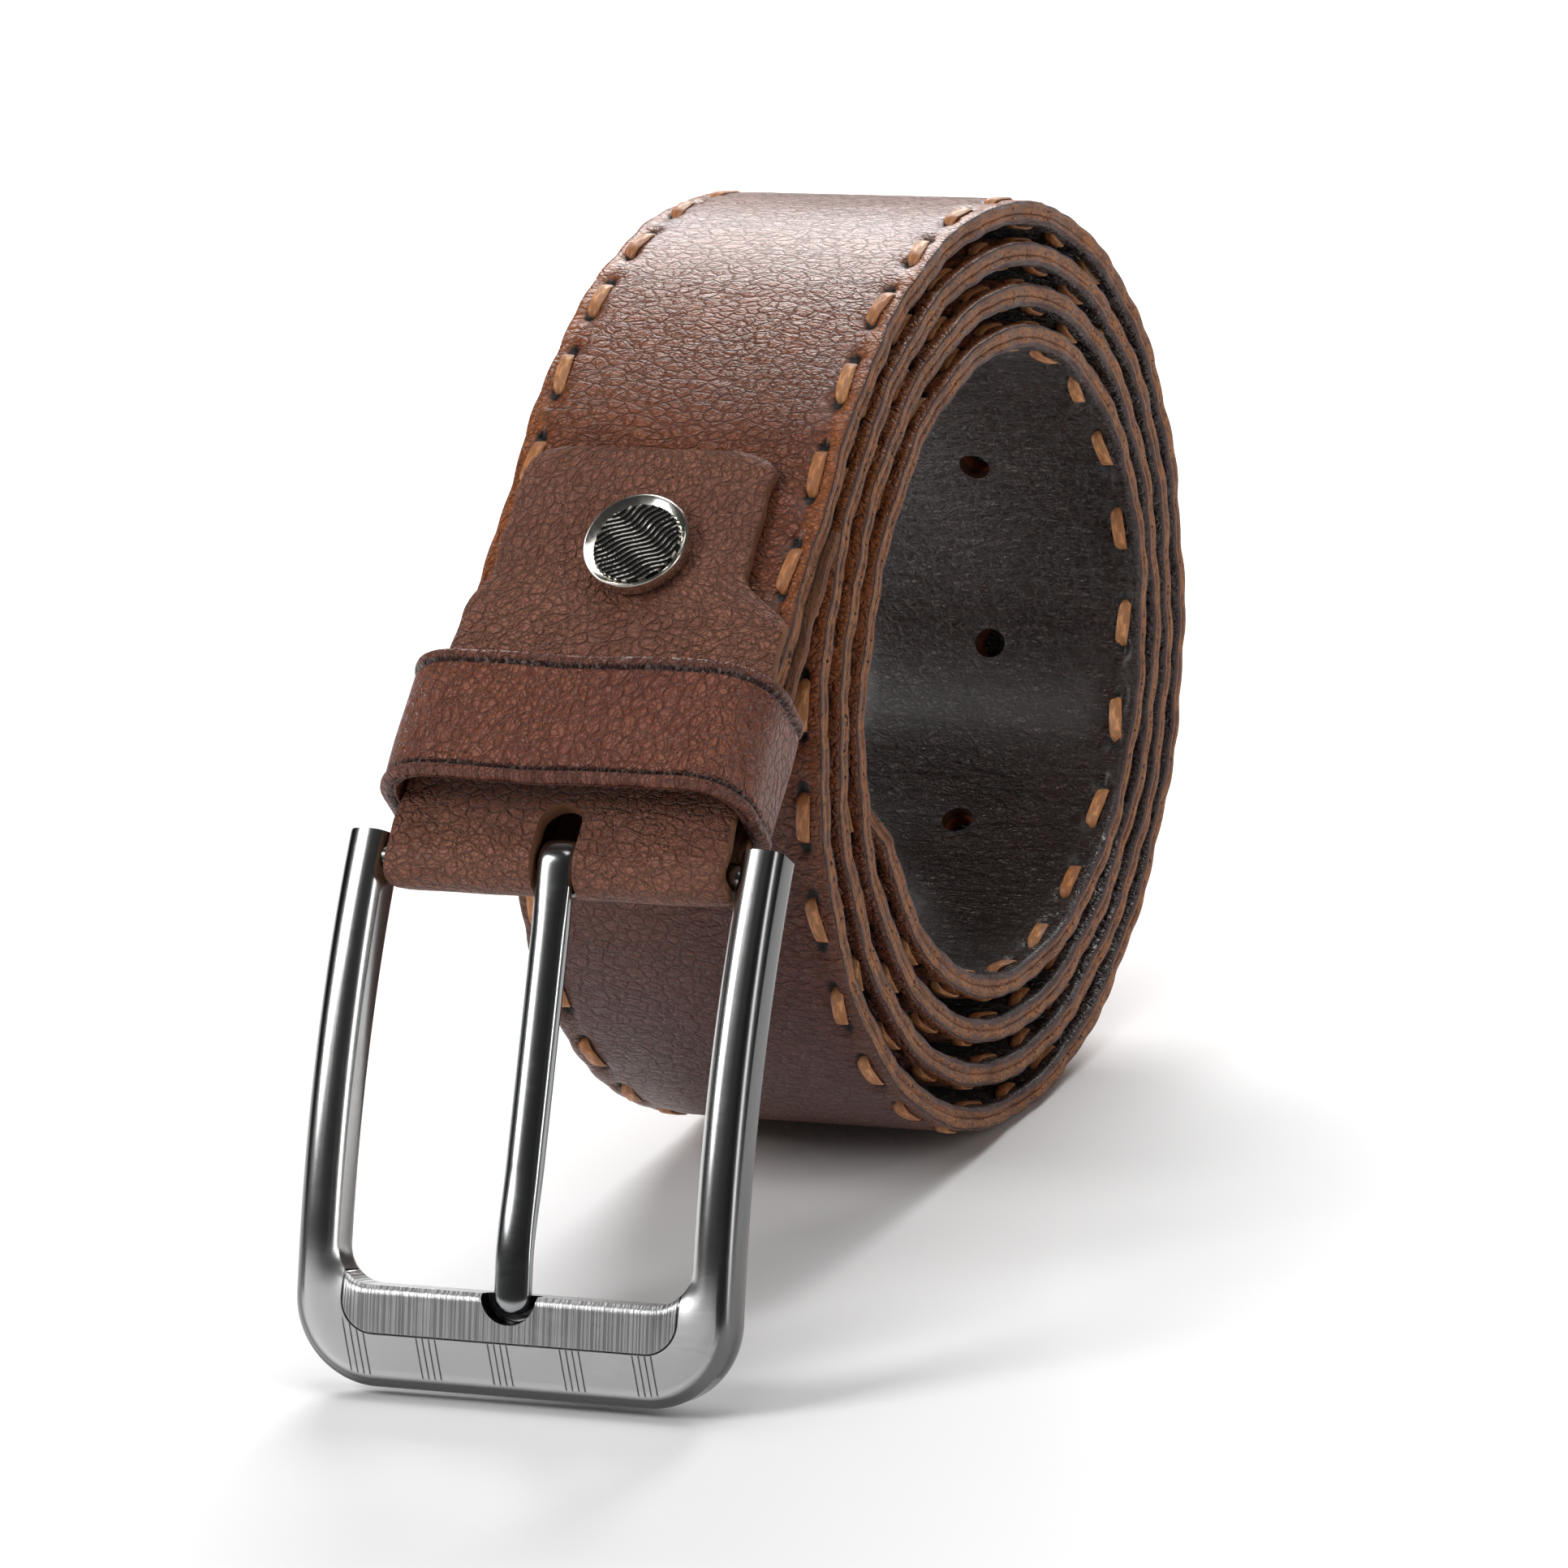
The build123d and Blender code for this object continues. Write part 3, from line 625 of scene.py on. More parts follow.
def keeper_corner(row, column):
    along = KEEPER_ROUND * row / KEEPER_ROWS
    across, depth, material = keeper_columns[column]
    y = depth
    if depth > -KEEPER_WALL / 2:
        inwards = KEEPER_TALL / 2 - abs(across)
        groove = 0.55 * MM * exp(-(((inwards - RIM) / (0.24 * MM)) ** 2))
        bead = 0.0
        if inwards < RIM:
            bead = 0.3 * MM * sqrt(max(1 - ((inwards - RIM / 2) / (RIM / 2)) ** 2, 0.0))
        crown = -0.2 * MM - 0.15 * MM * (across / (KEEPER_TALL / 2)) ** 2
        y += crown + bead - groove + 0.05 * MM * sin(along * 420) * sin(across * 500)
    wander = 0.16 * MM * sin(along * 150) + 0.08 * MM * sin(along * 390 + across * 90)
    return (along, y, across + wander)


def keeper_chart(row, column):
    across, depth, material = keeper_columns[column]
    return (KEEPER_ROUND * row / KEEPER_ROWS, across + depth)


keeper = wrapped_grid("keeper_leather", KEEPER_ROWS, len(keeper_columns) - 1, keeper_corner,
                      keeper_chart, lambda column: 0)
in_edit_mode(keeper, merge_corners, close_ends, face_outwards)
bend_along(keeper, keeper_curve)
# Curve X is the strap's width, curve Y is out of the strap and mesh Z runs down it.
KEEPER_PLACE = Matrix.Translation((0, -KEEPER_TOP - KEEPER_TALL / 2, 0)) @ Matrix(
    ((1, 0, 0, 0), (0, 0, -1, 0), (0, 1, 0, 0), (0, 0, 0, 1)))
place(keeper, HANG @ KEEPER_PLACE)
print(f"keeper strip {KEEPER_ROUND / MM:.0f} mm round")

# %% [markdown]
# ## Stud
#
# The stud's cap is a turned disc with a raised rim round a sunken field. A cylinder is added, its front
# face is inset and pushed in, and a Bevel modifier rounds the edges. The field holds a blackened disc
# whose wavy ridges are polished on their crests. The ridges are a height rule over a round grid, and the
# UV map keeps each corner's height, so that the finish can tell crest from valley.

# %% Stud cap
STUD, STUD_TALL, STUD_RIM, FIELD_DEEP = 6.0 * MM, 2.0 * MM, 1.1 * MM, 0.9 * MM
STUD_PLACE = HANG @ Matrix.Translation((0, -STUD_DOWN, CHAPE))


def pick_faces(piece, wanted):
    """Select the faces for which wanted(face) is true, in object mode."""
    for face in piece.data.polygons:
        face.select = wanted(face)
    for edge in piece.data.edges:
        edge.select = False
    for vertex in piece.data.vertices:
        vertex.select = False
    for face in piece.data.polygons:
        if face.select:
            for index in face.vertices:
                piece.data.vertices[index].select = True


def bevel_edges(piece, width, segments=3):
    modifier = piece.modifiers.new("round", "BEVEL")
    modifier.width = width
    modifier.segments = segments
    modifier.limit_method = "ANGLE"
    modifier.angle_limit = radians(40)
    apply_modifiers(piece)


# %% Turn the cap
bpy.ops.object.select_all(action="DESELECT")
bpy.ops.mesh.primitive_cylinder_add(
    vertices=96, radius=STUD, depth=STUD_TALL, location=(0, 0, STUD_TALL / 2))
cap = bpy.context.active_object
bpy.ops.object.transform_apply(location=True)
pick_faces(cap, lambda face: face.normal.z > 0.9)
bpy.ops.object.mode_set(mode="EDIT")
bpy.ops.mesh.select_mode(type="FACE")
bpy.ops.mesh.inset(thickness=STUD_RIM)
bpy.ops.transform.translate(value=(0, 0, -FIELD_DEEP))
bpy.ops.object.mode_set(mode="OBJECT")
pick_faces(cap, lambda face: False)
bevel_edges(cap, 0.35 * MM, 4)
place(cap, STUD_PLACE)

# %% Ridged inlay
FIELD = STUD - STUD_RIM - 0.05 * MM
RIDGE_STEP = 0.68 * MM
DISC_ROWS, DISC_COLUMNS = 56, 200


def ridge_height(x, y):
    """Height of the wavy ridges over the field, from 0 in a valley to 1 on a crest."""
    sway = 0.22 * MM * sin(x * 1500 + y * 420) + 0.42 * MM * sin(x * 560 + y * 160 + 0.8)
    crest = 0.5 + 0.5 * cos(2 * pi * (y + sway) / RIDGE_STEP)
    return crest * crest


def disc_spot(row, column):
    reach = FIELD * min(row / DISC_ROWS, 1.0) if row < DISC_ROWS + 2 else 0.0
    turn = 2 * pi * column / DISC_COLUMNS
    return reach * cos(turn), reach * sin(turn)


def disc_corner(row, column):
    """Rows run from the middle of the top out to the rim, then down and back under."""
    x, y = disc_spot(row, column)
    return (x, y, 0.2 * MM + 0.26 * MM * ridge_height(x, y) if row <= DISC_ROWS else 0.0)


inlay = wrapped_grid("stud disc", DISC_ROWS + 2, DISC_COLUMNS, disc_corner,
                     lambda row, column: (ridge_height(*disc_spot(row, column)), 0.5), lambda column: 0)
in_edit_mode(inlay, merge_corners, face_outwards)
RIDGE_TURN = Matrix.Rotation(radians(38), 4, "Z")
place(inlay, STUD_PLACE @ Matrix.Translation((0, 0, STUD_TALL - FIELD_DEEP)) @ RIDGE_TURN)
print("stud cap and ridged disc shaped")

# %% [markdown]
# ## Buckle frame
#
# The frame is a cast and polished U. Its arms are crowned in front with flat side walls, and its foot
# is wider and flatter, with a bevelled outer edge, a satin band, a fine border line and a ribbed zone.
# One grid is swept between the outer and inner outlines, so that the arms' crown melts into the foot's
# flats at the corners. It is made flat and bent along the frame's long curve.

# %% Frame sizes and outline
FRAME_HALF, FRAME_LONG, FRAME_THICK, ARM, FOOT = 25.2 * MM, 60.1 * MM, 4.6 * MM, 4.8 * MM, 11.0 * MM
OUTER_CORNER, INNER_CORNER = 9.5 * MM, 4.0 * MM
BEND_RADIUS, TOP_SLOPE = 140.0 * MM, radians(36.0)
ARM_ABOVE_BAR, BAR_BEHIND_FACE = 2.5 * MM, 2.3 * MM
ARM_ROWS, CORNER_ROWS, FOOT_ROWS = 60, 26, 50
FRAME_ROWS = 2 * ARM_ROWS + 2 * CORNER_ROWS + FOOT_ROWS


def outline(row, half, corner, floor):
    """A point of a U outline, and how much it belongs to the foot: down one arm, across and up."""
    if row > FRAME_ROWS / 2:
        (x, y), foot = outline(FRAME_ROWS - row, half, corner, floor)
        return (-x, y), foot
    if row <= ARM_ROWS:
        return (-half, FRAME_LONG + (floor + corner - FRAME_LONG) * row / ARM_ROWS), 0.0
    if row <= ARM_ROWS + CORNER_ROWS:
        share = (row - ARM_ROWS) / CORNER_ROWS
        turn = pi / 2 * share
        corner_point = (-half + corner - corner * cos(turn), floor + corner - corner * sin(turn))
        return corner_point, smooth_step(share, 0, 1)
    share = (row - ARM_ROWS - CORNER_ROWS) / FOOT_ROWS
    return (-half + corner + 2 * (half - corner) * share, floor), 1.0


# %% The frame's section
# Shares of the way from the outer to the inner outline, close together at the bevel and the border.
FRONT = [0, 0.02, 0.05, 0.09, 0.14, 0.2, 0.3, 0.4, 0.49, 0.515, 0.527, 0.54, 0.56, 0.65, 0.75, 0.84,
         0.9, 0.95, 0.98, 1.0]
# The same share with the depth as a share of the thickness, round the back.
BEHIND = [(1.0, 0.85), (1.0, 0.95), (0.97, 1.0), (0.5, 1.0), (0.03, 1.0), (0.0, 0.95), (0.0, 0.85)]


def crown(share):
    """Depth of the arm's rounded front below its highest line."""
    return 1.35 * MM * abs(2 * share - 1) ** 3.2


def foot_face(share):
    """Depth of the foot's face: outer bevel, flat bands, eased inner edge."""
    bevel = 1.5 * MM * (1 - smooth_step(share, 0.0, 0.14))
    return bevel + 0.5 * MM * smooth_step(share, 0.95, 1.0)


def frame_corner(row, column):
    (ox, oy), foot = outline(row, FRAME_HALF, OUTER_CORNER, 0.0)
    (ix, iy), foot = outline(row, FRAME_HALF - ARM, INNER_CORNER, FOOT)
    column %= len(FRONT) + len(BEHIND)
    if column < len(FRONT):
        share = FRONT[column]
        depth = crown(share) * (1 - foot) + foot_face(share) * foot
    else:
        share, level = BEHIND[column - len(FRONT)]
        depth = level * FRAME_THICK
    return (oy + (iy - oy) * share, -depth, ox + (ix - ox) * share)


def frame_chart(row, column):
    y, depth, x = frame_corner(row, column)
    return (x, y)


# %% Frame, still flat
buckle = wrapped_grid("buckle_u", FRAME_ROWS, len(FRONT) + len(BEHIND), frame_corner, frame_chart,
                      lambda column: 0)
in_edit_mode(buckle, merge_corners, close_ends, face_outwards)

# %% Pin notch, then the bend
NOTCH, NOTCH_DEEP = 3.2 * MM, 2.4 * MM
bpy.ops.object.select_all(action="DESELECT")
bpy.ops.mesh.primitive_cylinder_add(
    vertices=64, radius=NOTCH, depth=2 * NOTCH_DEEP, rotation=(pi / 2, 0, 0), location=(FOOT, 0, 0))
notch = bpy.context.active_object
bevel_edges(notch, 0.5 * MM)
cut(buckle, notch)
bpy.data.objects.remove(notch)

# %% The frame's curve
bar_low, bar_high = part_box("buckle_bar")
BAR = (bar_low + bar_high) / 2
top_y = BAR.y + ARM_ABOVE_BAR * sin(TOP_SLOPE) - BAR_BEHIND_FACE * cos(TOP_SLOPE)
top_z = BAR.z + ARM_ABOVE_BAR * cos(TOP_SLOPE) + BAR_BEHIND_FACE * sin(TOP_SLOPE)


def frame_line(along, back=0.0):
    """A point of the curved frame, along from the arms' top and back into the metal."""
    lean = TOP_SLOPE - along / BEND_RADIUS
    y = top_y - BEND_RADIUS * (cos(lean) - cos(TOP_SLOPE)) + back * cos(lean)
    return y, top_z - BEND_RADIUS * (sin(TOP_SLOPE) - sin(lean)) - back * sin(lean)


FRAME_STEPS = 120
frame_curve = bending_curve(
    "frame path", [frame_line(FRAME_LONG * (1 - k / FRAME_STEPS)) for k in range(FRAME_STEPS + 1)])
bend_along(buckle, frame_curve)
place(buckle, SIDE)
print("buckle frame notched and bent")

# %% [markdown]
# ## Prong
#
# The prong is drawn wire, flattened: it wraps the bar as an eye, runs straight down and steps in at its
# foot to lie in the notch. A grid is swept along that line with a rounded section that thins towards
# the tip.

# %% Prong line
PRONG_WIDE, PRONG_THICK, PRONG_TIP_THICK, PRONG_LONG = 4.2 * MM, 2.6 * MM, 1.9 * MM, 48.6 * MM
EYE_IN, EYE_WALL = 1.58 * MM, 1.6 * MM
foot_along = ARM_ABOVE_BAR + PRONG_LONG
foot_lean = TOP_SLOPE - foot_along / BEND_RADIUS
foot_down = Vector((0, -sin(foot_lean), -cos(foot_lean)))
foot_out = Vector((0, -cos(foot_lean), sin(foot_lean)))
foot_point = Vector((0, *frame_line(foot_along, NOTCH_DEEP)))
down = (foot_point - Vector((0, BAR.y, BAR.z))).normalized()
out = Vector((0, down.z, -down.y))
bar_point = Vector((0, BAR.y, BAR.z))
EYE = EYE_IN + EYE_WALL / 2


def prong_line():
    """Middle line of the prong and its thickness, from the eye's tail round the bar to the tip."""
    line = []
    for k in range(41):
        turn = radians(285 * (1 - k / 40))
        line.append((bar_point + out * EYE * cos(turn) - down * EYE * sin(turn), EYE_WALL))
    for k in range(1, 41):
        share = k / 40
        settle = smooth_step(share, 0, 0.25)
        thick = EYE_WALL + (PRONG_THICK - EYE_WALL) * settle
        outwards = out * (EYE_IN + EYE_WALL - thick / 2)
        line.append((bar_point + outwards + down * PRONG_LONG * 0.66 * share, thick))
    start = line[-1][0]
    rest = foot_point + foot_out * (PRONG_TIP_THICK / 2 + 0.15 * MM)
    flat = rest - foot_down * PRONG_LONG * 0.1
    pull = (flat - start).length
    for k in range(1, 31):
        t = k / 30
        h0, h1 = 2 * t**3 - 3 * t**2 + 1, t**3 - 2 * t**2 + t
        h2, h3 = -2 * t**3 + 3 * t**2, t**3 - t**2
        point = start * h0 + down * pull * h1 + flat * h2 + foot_down * pull * h3
        line.append((point, PRONG_THICK + (PRONG_TIP_THICK - PRONG_THICK) * t))
    line += [(flat + (rest - flat) * k / 16, PRONG_TIP_THICK) for k in range(1, 17)]
    return line


# %% Prong
prong_path = prong_line()
PRONG_ROWS, PRONG_COLUMNS = len(prong_path) - 1, 24
prong_reach = [0.0]
for before, after in zip(prong_path, prong_path[1:]):
    prong_reach.append(prong_reach[-1] + (after[0] - before[0]).length)


def prong_corner(row, column):
    point, thick = prong_path[row]
    before, after = prong_path[max(row - 1, 0)][0], prong_path[min(row + 1, PRONG_ROWS)][0]
    outwards = Vector((1, 0, 0)).cross((before - after).normalized())
    turn = 2 * pi * column / PRONG_COLUMNS
    left = prong_reach[-1] - prong_reach[row]
    blunt = sqrt(max(1 - (1 - min(left / (1.7 * MM), 1.0)) ** 2, 0.02))
    power = 0.82
    across = abs(cos(turn)) ** power * (1 if cos(turn) > 0 else -1) * PRONG_WIDE / 2 * blunt
    lift = abs(sin(turn)) ** power * (1 if sin(turn) > 0 else -1) * thick / 2 * (0.55 + 0.45 * blunt)
    return point + Vector((across, 0, 0)) + outwards * lift


prong = wrapped_grid("prong_wire", PRONG_ROWS, PRONG_COLUMNS, prong_corner,
                     lambda row, column: (prong_reach[row], column * MM), lambda column: 0)
in_edit_mode(prong, merge_corners, close_ends, face_outwards)
print("buckle and prong shaped")

# %% [markdown]
# ## Building materials from small helpers
#
# Every finish is a node tree. `add` makes one node and sets or links its inputs by name, `calc` is a
# Math node, and `tint` mixes two colours. Effects that several finishes share are node groups with
# named inputs and outputs: leather grain, the fibres of a cut edge, the stretched stitch holes and the
# fine scuffs that break up a gloss.


# %% Node helpers
def socket_of(node, key):
    """An input by name, where an underscore stands for a space."""
    return node.inputs[key.replace("_", " ")]


def feed(tree, socket, value):
    """Link a socket to another one, or set its value."""
    if isinstance(value, bpy.types.NodeSocket):
        tree.links.new(value, socket)
    else:
        socket.default_value = value


def add(tree, kind, settings=None, **inputs):
    """Make a shader node, change its settings and give its inputs."""
    node = tree.nodes.new("ShaderNode" + kind)
    for key, value in (settings or {}).items():
        setattr(node, key, value)
    for key, value in inputs.items():
        feed(tree, socket_of(node, key), value)
    return node


def calc(tree, operation, a, b=0.0):
    """A Math node's result."""
    node = tree.nodes.new("ShaderNodeMath")
    node.operation = operation
    feed(tree, node.inputs[0], a)
    feed(tree, node.inputs[1], b)
    return node.outputs[0]


# %% Colour, ramp and noise helpers
def tint(tree, share, a, b):
    """Mix colour a towards colour b. A Mix node keeps its colours in sockets 6 and 7, and gives its
    mixed colour in output 2."""
    node = tree.nodes.new("ShaderNodeMix")
    node.data_type = "RGBA"
    for index, value in ((0, share), (6, a), (7, b)):
        feed(tree, node.inputs[index], value)
    return node.outputs[2]


def ramp(tree, value, low, high, start=0.0, end=1.0):
    """Smoothly carry a value from low..high to start..end."""
    node = add(tree, "MapRange", {"interpolation_type": "SMOOTHSTEP"}, Value=value)
    for key, number in (("From Min", low), ("From Max", high), ("To Min", start), ("To Max", end)):
        feed(tree, node.inputs[key], number)
    return node.outputs["Result"]


def noise(tree, vector, scale, detail=3.0, roughness=0.5, distortion=0.0):
    """A noise pattern's grey value."""
    node = add(tree, "TexNoise", Vector=vector, Scale=scale, Detail=detail, Roughness=roughness)
    feed(tree, node.inputs["Distortion"], distortion)
    return node.outputs["Fac"]


def stretch(tree, vector, x, y, z=1.0):
    """A vector scaled by x, y and z, to stretch or crowd a pattern."""
    node = add(tree, "VectorMath", {"operation": "MULTIPLY"})
    feed(tree, node.inputs[0], vector)
    node.inputs[1].default_value = (x, y, z)
    return node.outputs[0]


def leather_map(tree):
    """The flat place on the leather or the frame, in metres."""
    node = add(tree, "UVMap", {"uv_map": "leather map"})
    return node.outputs["UV"]


# %% Group and finish helpers
def start_group(name, inputs, outputs):
    """An empty node group with named sockets; returns it and its two ends."""
    group = bpy.data.node_groups.new(name, "ShaderNodeTree")
    for direction, sockets in (("INPUT", inputs), ("OUTPUT", outputs)):
        for label, kind in sockets:
            group.interface.new_socket(label, in_out=direction, socket_type="NodeSocket" + kind)
    return group, group.nodes.new("NodeGroupInput").outputs, group.nodes.new("NodeGroupOutput").inputs


def use_group(tree, group, **inputs):
    """Place a shared effect in a material with its own values, and return its outputs."""
    node = tree.nodes.new("ShaderNodeGroup")
    node.node_tree = group
    for key, value in inputs.items():
        feed(tree, socket_of(node, key), value)
    return node.outputs


def new_finish(name):
    """A material with an empty Principled shader; returns it, its tree and the shader."""
    material = bpy.data.materials.new(name)
    material.use_nodes = True
    tree = material.node_tree
    return material, tree, tree.nodes["Principled BSDF"]


def bump(tree, height, depth):
    """A bump of a real depth in metres."""
    return add(tree, "Bump", Height=height, Distance=depth, Strength=1.0).outputs["Normal"]


# %% Shared effect: pebbled leather grain
# Pebbles are the cells of a Voronoi pattern, stretched a little across the strap, with a second, finer
# set inside the first. The pattern is warped by noise so that no cell edge is straight.
grain_group, given, result = start_group(
    "pebbled grain", (("Vector", "Vector"), ("Pebble Scale", "Float"), ("Warp", "Float")),
    (("Height", "Float"), ("Crease", "Float"), ("Patch", "Float")))
g = grain_group
warp = add(g, "TexNoise", Vector=given["Vector"], Scale=420.0, Detail=2.0)
shifted = add(g, "VectorMath", {"operation": "SUBTRACT"})
feed(g, shifted.inputs[0], warp.outputs["Color"])
shifted.inputs[1].default_value = (0.5, 0.5, 0.5)
scaled = add(g, "VectorMath", {"operation": "SCALE"})
feed(g, scaled.inputs[0], shifted.outputs[0])
feed(g, scaled.inputs["Scale"], given["Warp"])
moved = add(g, "VectorMath", {"operation": "ADD"})
feed(g, moved.inputs[0], given["Vector"])
feed(g, moved.inputs[1], scaled.outputs[0])
cells = {"feature": "DISTANCE_TO_EDGE"}
pebbles = add(g, "TexVoronoi", cells, Vector=moved.outputs[0], Scale=given["Pebble Scale"])
small_scale = calc(g, "MULTIPLY", given["Pebble Scale"], 2.3)
small = add(g, "TexVoronoi", cells, Vector=moved.outputs[0], Scale=small_scale)
patch = noise(g, given["Vector"], 65.0, 3.0, 0.6)
big_round = ramp(g, pebbles.outputs["Distance"], 0.0, 0.16)
small_round = ramp(g, small.outputs["Distance"], 0.0, 0.14)
weight = ramp(g, patch, 0.35, 0.65, 0.25, 0.6)
mixed = calc(g, "ADD", calc(g, "MULTIPLY", big_round, 0.7), calc(g, "MULTIPLY", small_round, weight))
fine = noise(g, given["Vector"], 3600.0, 2.0)
feed(g, result["Height"], calc(g, "ADD", mixed, calc(g, "MULTIPLY", fine, 0.18)))
# Crease marks the valleys between the pebbles, where the finishes paint shade.
feed(g, result["Crease"], calc(g, "SUBTRACT", 1.0, ramp(g, pebbles.outputs["Distance"], 0.0, 0.085)))
feed(g, result["Patch"], patch)
print("shared effect: pebbled grain")

# %% Shared effect: fibres of a cut edge
# A cut edge shows packed fibres that run along the strap, with small pores and pulled ends.
fibre_group, given, result = start_group(
    "cut fibres", (("Vector", "Vector"),), (("Height", "Float"), ("Tone", "Float"), ("Pore", "Float")))
g = fibre_group
strands = noise(g, stretch(g, given["Vector"], 900.0, 3600.0), 1.0, 4.0, 0.65)
clumps = noise(g, stretch(g, given["Vector"], 260.0, 900.0), 1.0, 3.0, 0.6)
pores = add(g, "TexVoronoi", Vector=stretch(g, given["Vector"], 1300.0, 2600.0), Scale=1.0)
pore = calc(g, "MULTIPLY", calc(g, "SUBTRACT", 1.0, ramp(g, pores.outputs["Distance"], 0.1, 0.34)),
            ramp(g, clumps, 0.38, 0.55))
feed(g, result["Height"], calc(g, "SUBTRACT", calc(g, "ADD", strands, clumps), pore))
tone = calc(g, "ADD", calc(g, "MULTIPLY", strands, 0.5), calc(g, "MULTIPLY", clumps, 0.5))
feed(g, result["Tone"], tone)
feed(g, result["Pore"], pore)
print("shared effect: cut fibres")

# %% Shared effect: stitch holes
# Stretched holes repeat down both edges, two for each step of the seam; the finishes paint them nearly
# black as shade. The group also says where the leather lies outside the seam, which the finishes tint a
# lighter orange brown, partly the leather's tone and partly a painted highlight.
seam_group, given, result = start_group(
    "seam line", (("Vector", "Vector"),), (("Hole", "Float"), ("Outside", "Float")))
g = seam_group
split = add(g, "SeparateXYZ", Vector=given["Vector"])
phase = calc(g, "FLOORED_MODULO", calc(g, "SUBTRACT", split.outputs["X"], FIRST_STITCH), PITCH)
first = calc(g, "ABSOLUTE", calc(g, "SUBTRACT", phase, STITCH))
second = calc(g, "MINIMUM", phase, calc(g, "SUBTRACT", PITCH, phase))
along = calc(g, "DIVIDE", calc(g, "MINIMUM", first, second), 1.25 * MM)
aside = calc(g, "DIVIDE", calc(g, "SUBTRACT", calc(g, "ABSOLUTE", split.outputs["Y"]), SEAM_AT), 0.85 * MM)
squares = calc(g, "ADD", calc(g, "MULTIPLY", along, along), calc(g, "MULTIPLY", aside, aside))
away = calc(g, "SQRT", squares)
started = calc(g, "GREATER_THAN", split.outputs["X"], FIRST_STITCH - STITCH / 2)
feed(g, result["Hole"], calc(g, "MULTIPLY", calc(g, "SUBTRACT", 1.0, ramp(g, away, 0.55, 1.15)), started))
off_middle = calc(g, "ABSOLUTE", split.outputs["Y"])
feed(g, result["Outside"], ramp(g, off_middle, SEAM_AT - 0.4 * MM, SEAM_AT + 0.9 * MM))
print("shared effect: seam line")

# %% Shared effect: scuffs
# Cloudy patches of hairlines, which break up the gloss of worn metal.
scuff_group, given, result = start_group(
    "scuffs", (("Vector", "Vector"), ("Scale", "Float")), (("Scuff", "Float"),))
g = scuff_group
cloud = noise(g, given["Vector"], given["Scale"], 5.0, 0.65)
hair = noise(g, stretch(g, given["Vector"], 500.0, 6000.0, 900.0), 1.0, 2.0)
feed(g, result["Scuff"], calc(g, "MULTIPLY", ramp(g, cloud, 0.35, 0.75), ramp(g, hair, 0.3, 0.7)))
print("shared effect: scuffs")

# %% [markdown]
# ## Leather finishes
#
# The strap's outer leather is full grain: reddish-brown pebbles under a waxy gloss, with painted shade
# in the creases, a lighter orange brown outside the seam that is partly the leather's tone and partly a
# painted highlight, and darker low on the front. The chape and keeper are the same hide left matte, the
# lining is nearly black, and the cut edges show orange-brown fibres between burnished lips.


# %% Full-grain strap leather
def strap_face_finish(name, pebble, painted_crease_shade, light, outside, low_front_tone, gloss, depth, wrinkles,
                      wrinkled, shine):
    """Pebbled leather of one face of the strap, with its seam holes.

    pebble and light colour the grain, crease is painted shade in the creases and wrinkles, outside is the
    rim beyond the seam, partly the leather's tone and partly a painted highlight, and low_front_tone the
    low front, which it darkens. gloss is the roughness, depth the bump in metres, wrinkles how many there
    are in a metre, wrinkled how strong they are, and shine how much the surface mirrors.
    """
    material, tree, shader = new_finish(name)
    flat = leather_map(tree)
    stretched = stretch(tree, flat, 1.5, 1.0)
    grain = use_group(tree, grain_group, Vector=stretched, Pebble_Scale=560.0, Warp=0.0015)
    seam = use_group(tree, seam_group, Vector=flat)
    cloud = noise(tree, flat, 22.0, 4.0, 0.6)
    wrinkle = noise(tree, stretch(tree, flat, wrinkles, wrinkles / 5), 1.0, 2.0, 0.55, 1.2)
    colour = tint(tree, ramp(tree, cloud, 0.3, 0.7), pebble, light)
    # Painted shade: the valleys between the pebbles are darkened.
    colour = tint(tree, calc(tree, "MULTIPLY", grain["Crease"], 0.45), colour, painted_crease_shade)
    # Outside the seam: a lighter orange brown, partly the leather's tone and partly a painted highlight on
    # the puckered band.
    colour = tint(tree, calc(tree, "MULTIPLY", seam["Outside"], 0.75), colour, outside)
    # Painted shade along the wrinkles.
    colour = tint(tree, calc(tree, "MULTIPLY", ramp(tree, wrinkle, 0.52, 0.75), 0.3), colour, painted_crease_shade)
    # Darker low on the front of the strap, by height and by how far forward it lies.
    where = add(tree, "SeparateXYZ", Vector=add(tree, "TexCoord").outputs["Object"])
    low_front = calc(tree, "MULTIPLY", ramp(tree, where.outputs["Z"], 25 * MM, 85 * MM, 1.0, 0.0),
                   ramp(tree, where.outputs["Y"], axis_y - 45 * MM, axis_y - 5 * MM, 1.0, 0.0))
    colour = tint(tree, calc(tree, "MULTIPLY", low_front, 0.75), colour, low_front_tone)
    # Painted shade: the stitch holes are tinted nearly black.
    colour = tint(tree, seam["Hole"], colour, (0.008, 0.004, 0.003, 1))
    feed(tree, shader.inputs["Base Color"], colour)
    clouded = ramp(tree, cloud, 0.3, 0.7, gloss, gloss + 0.1)
    rough = calc(tree, "ADD", calc(tree, "MULTIPLY", grain["Crease"], 0.22), clouded)
    rough = calc(tree, "ADD", rough, calc(tree, "MULTIPLY", seam["Hole"], 0.4))
    feed(tree, shader.inputs["Roughness"], rough)
    height = calc(tree, "ADD", grain["Height"], calc(tree, "MULTIPLY", wrinkle, wrinkled))
    feed(tree, shader.inputs["Normal"], bump(tree, height, depth))
    shader.inputs["Specular IOR Level"].default_value = shine
    shader.inputs["Coat Weight"].default_value = 0.25
    shader.inputs["Coat Roughness"].default_value = 0.3
    return material


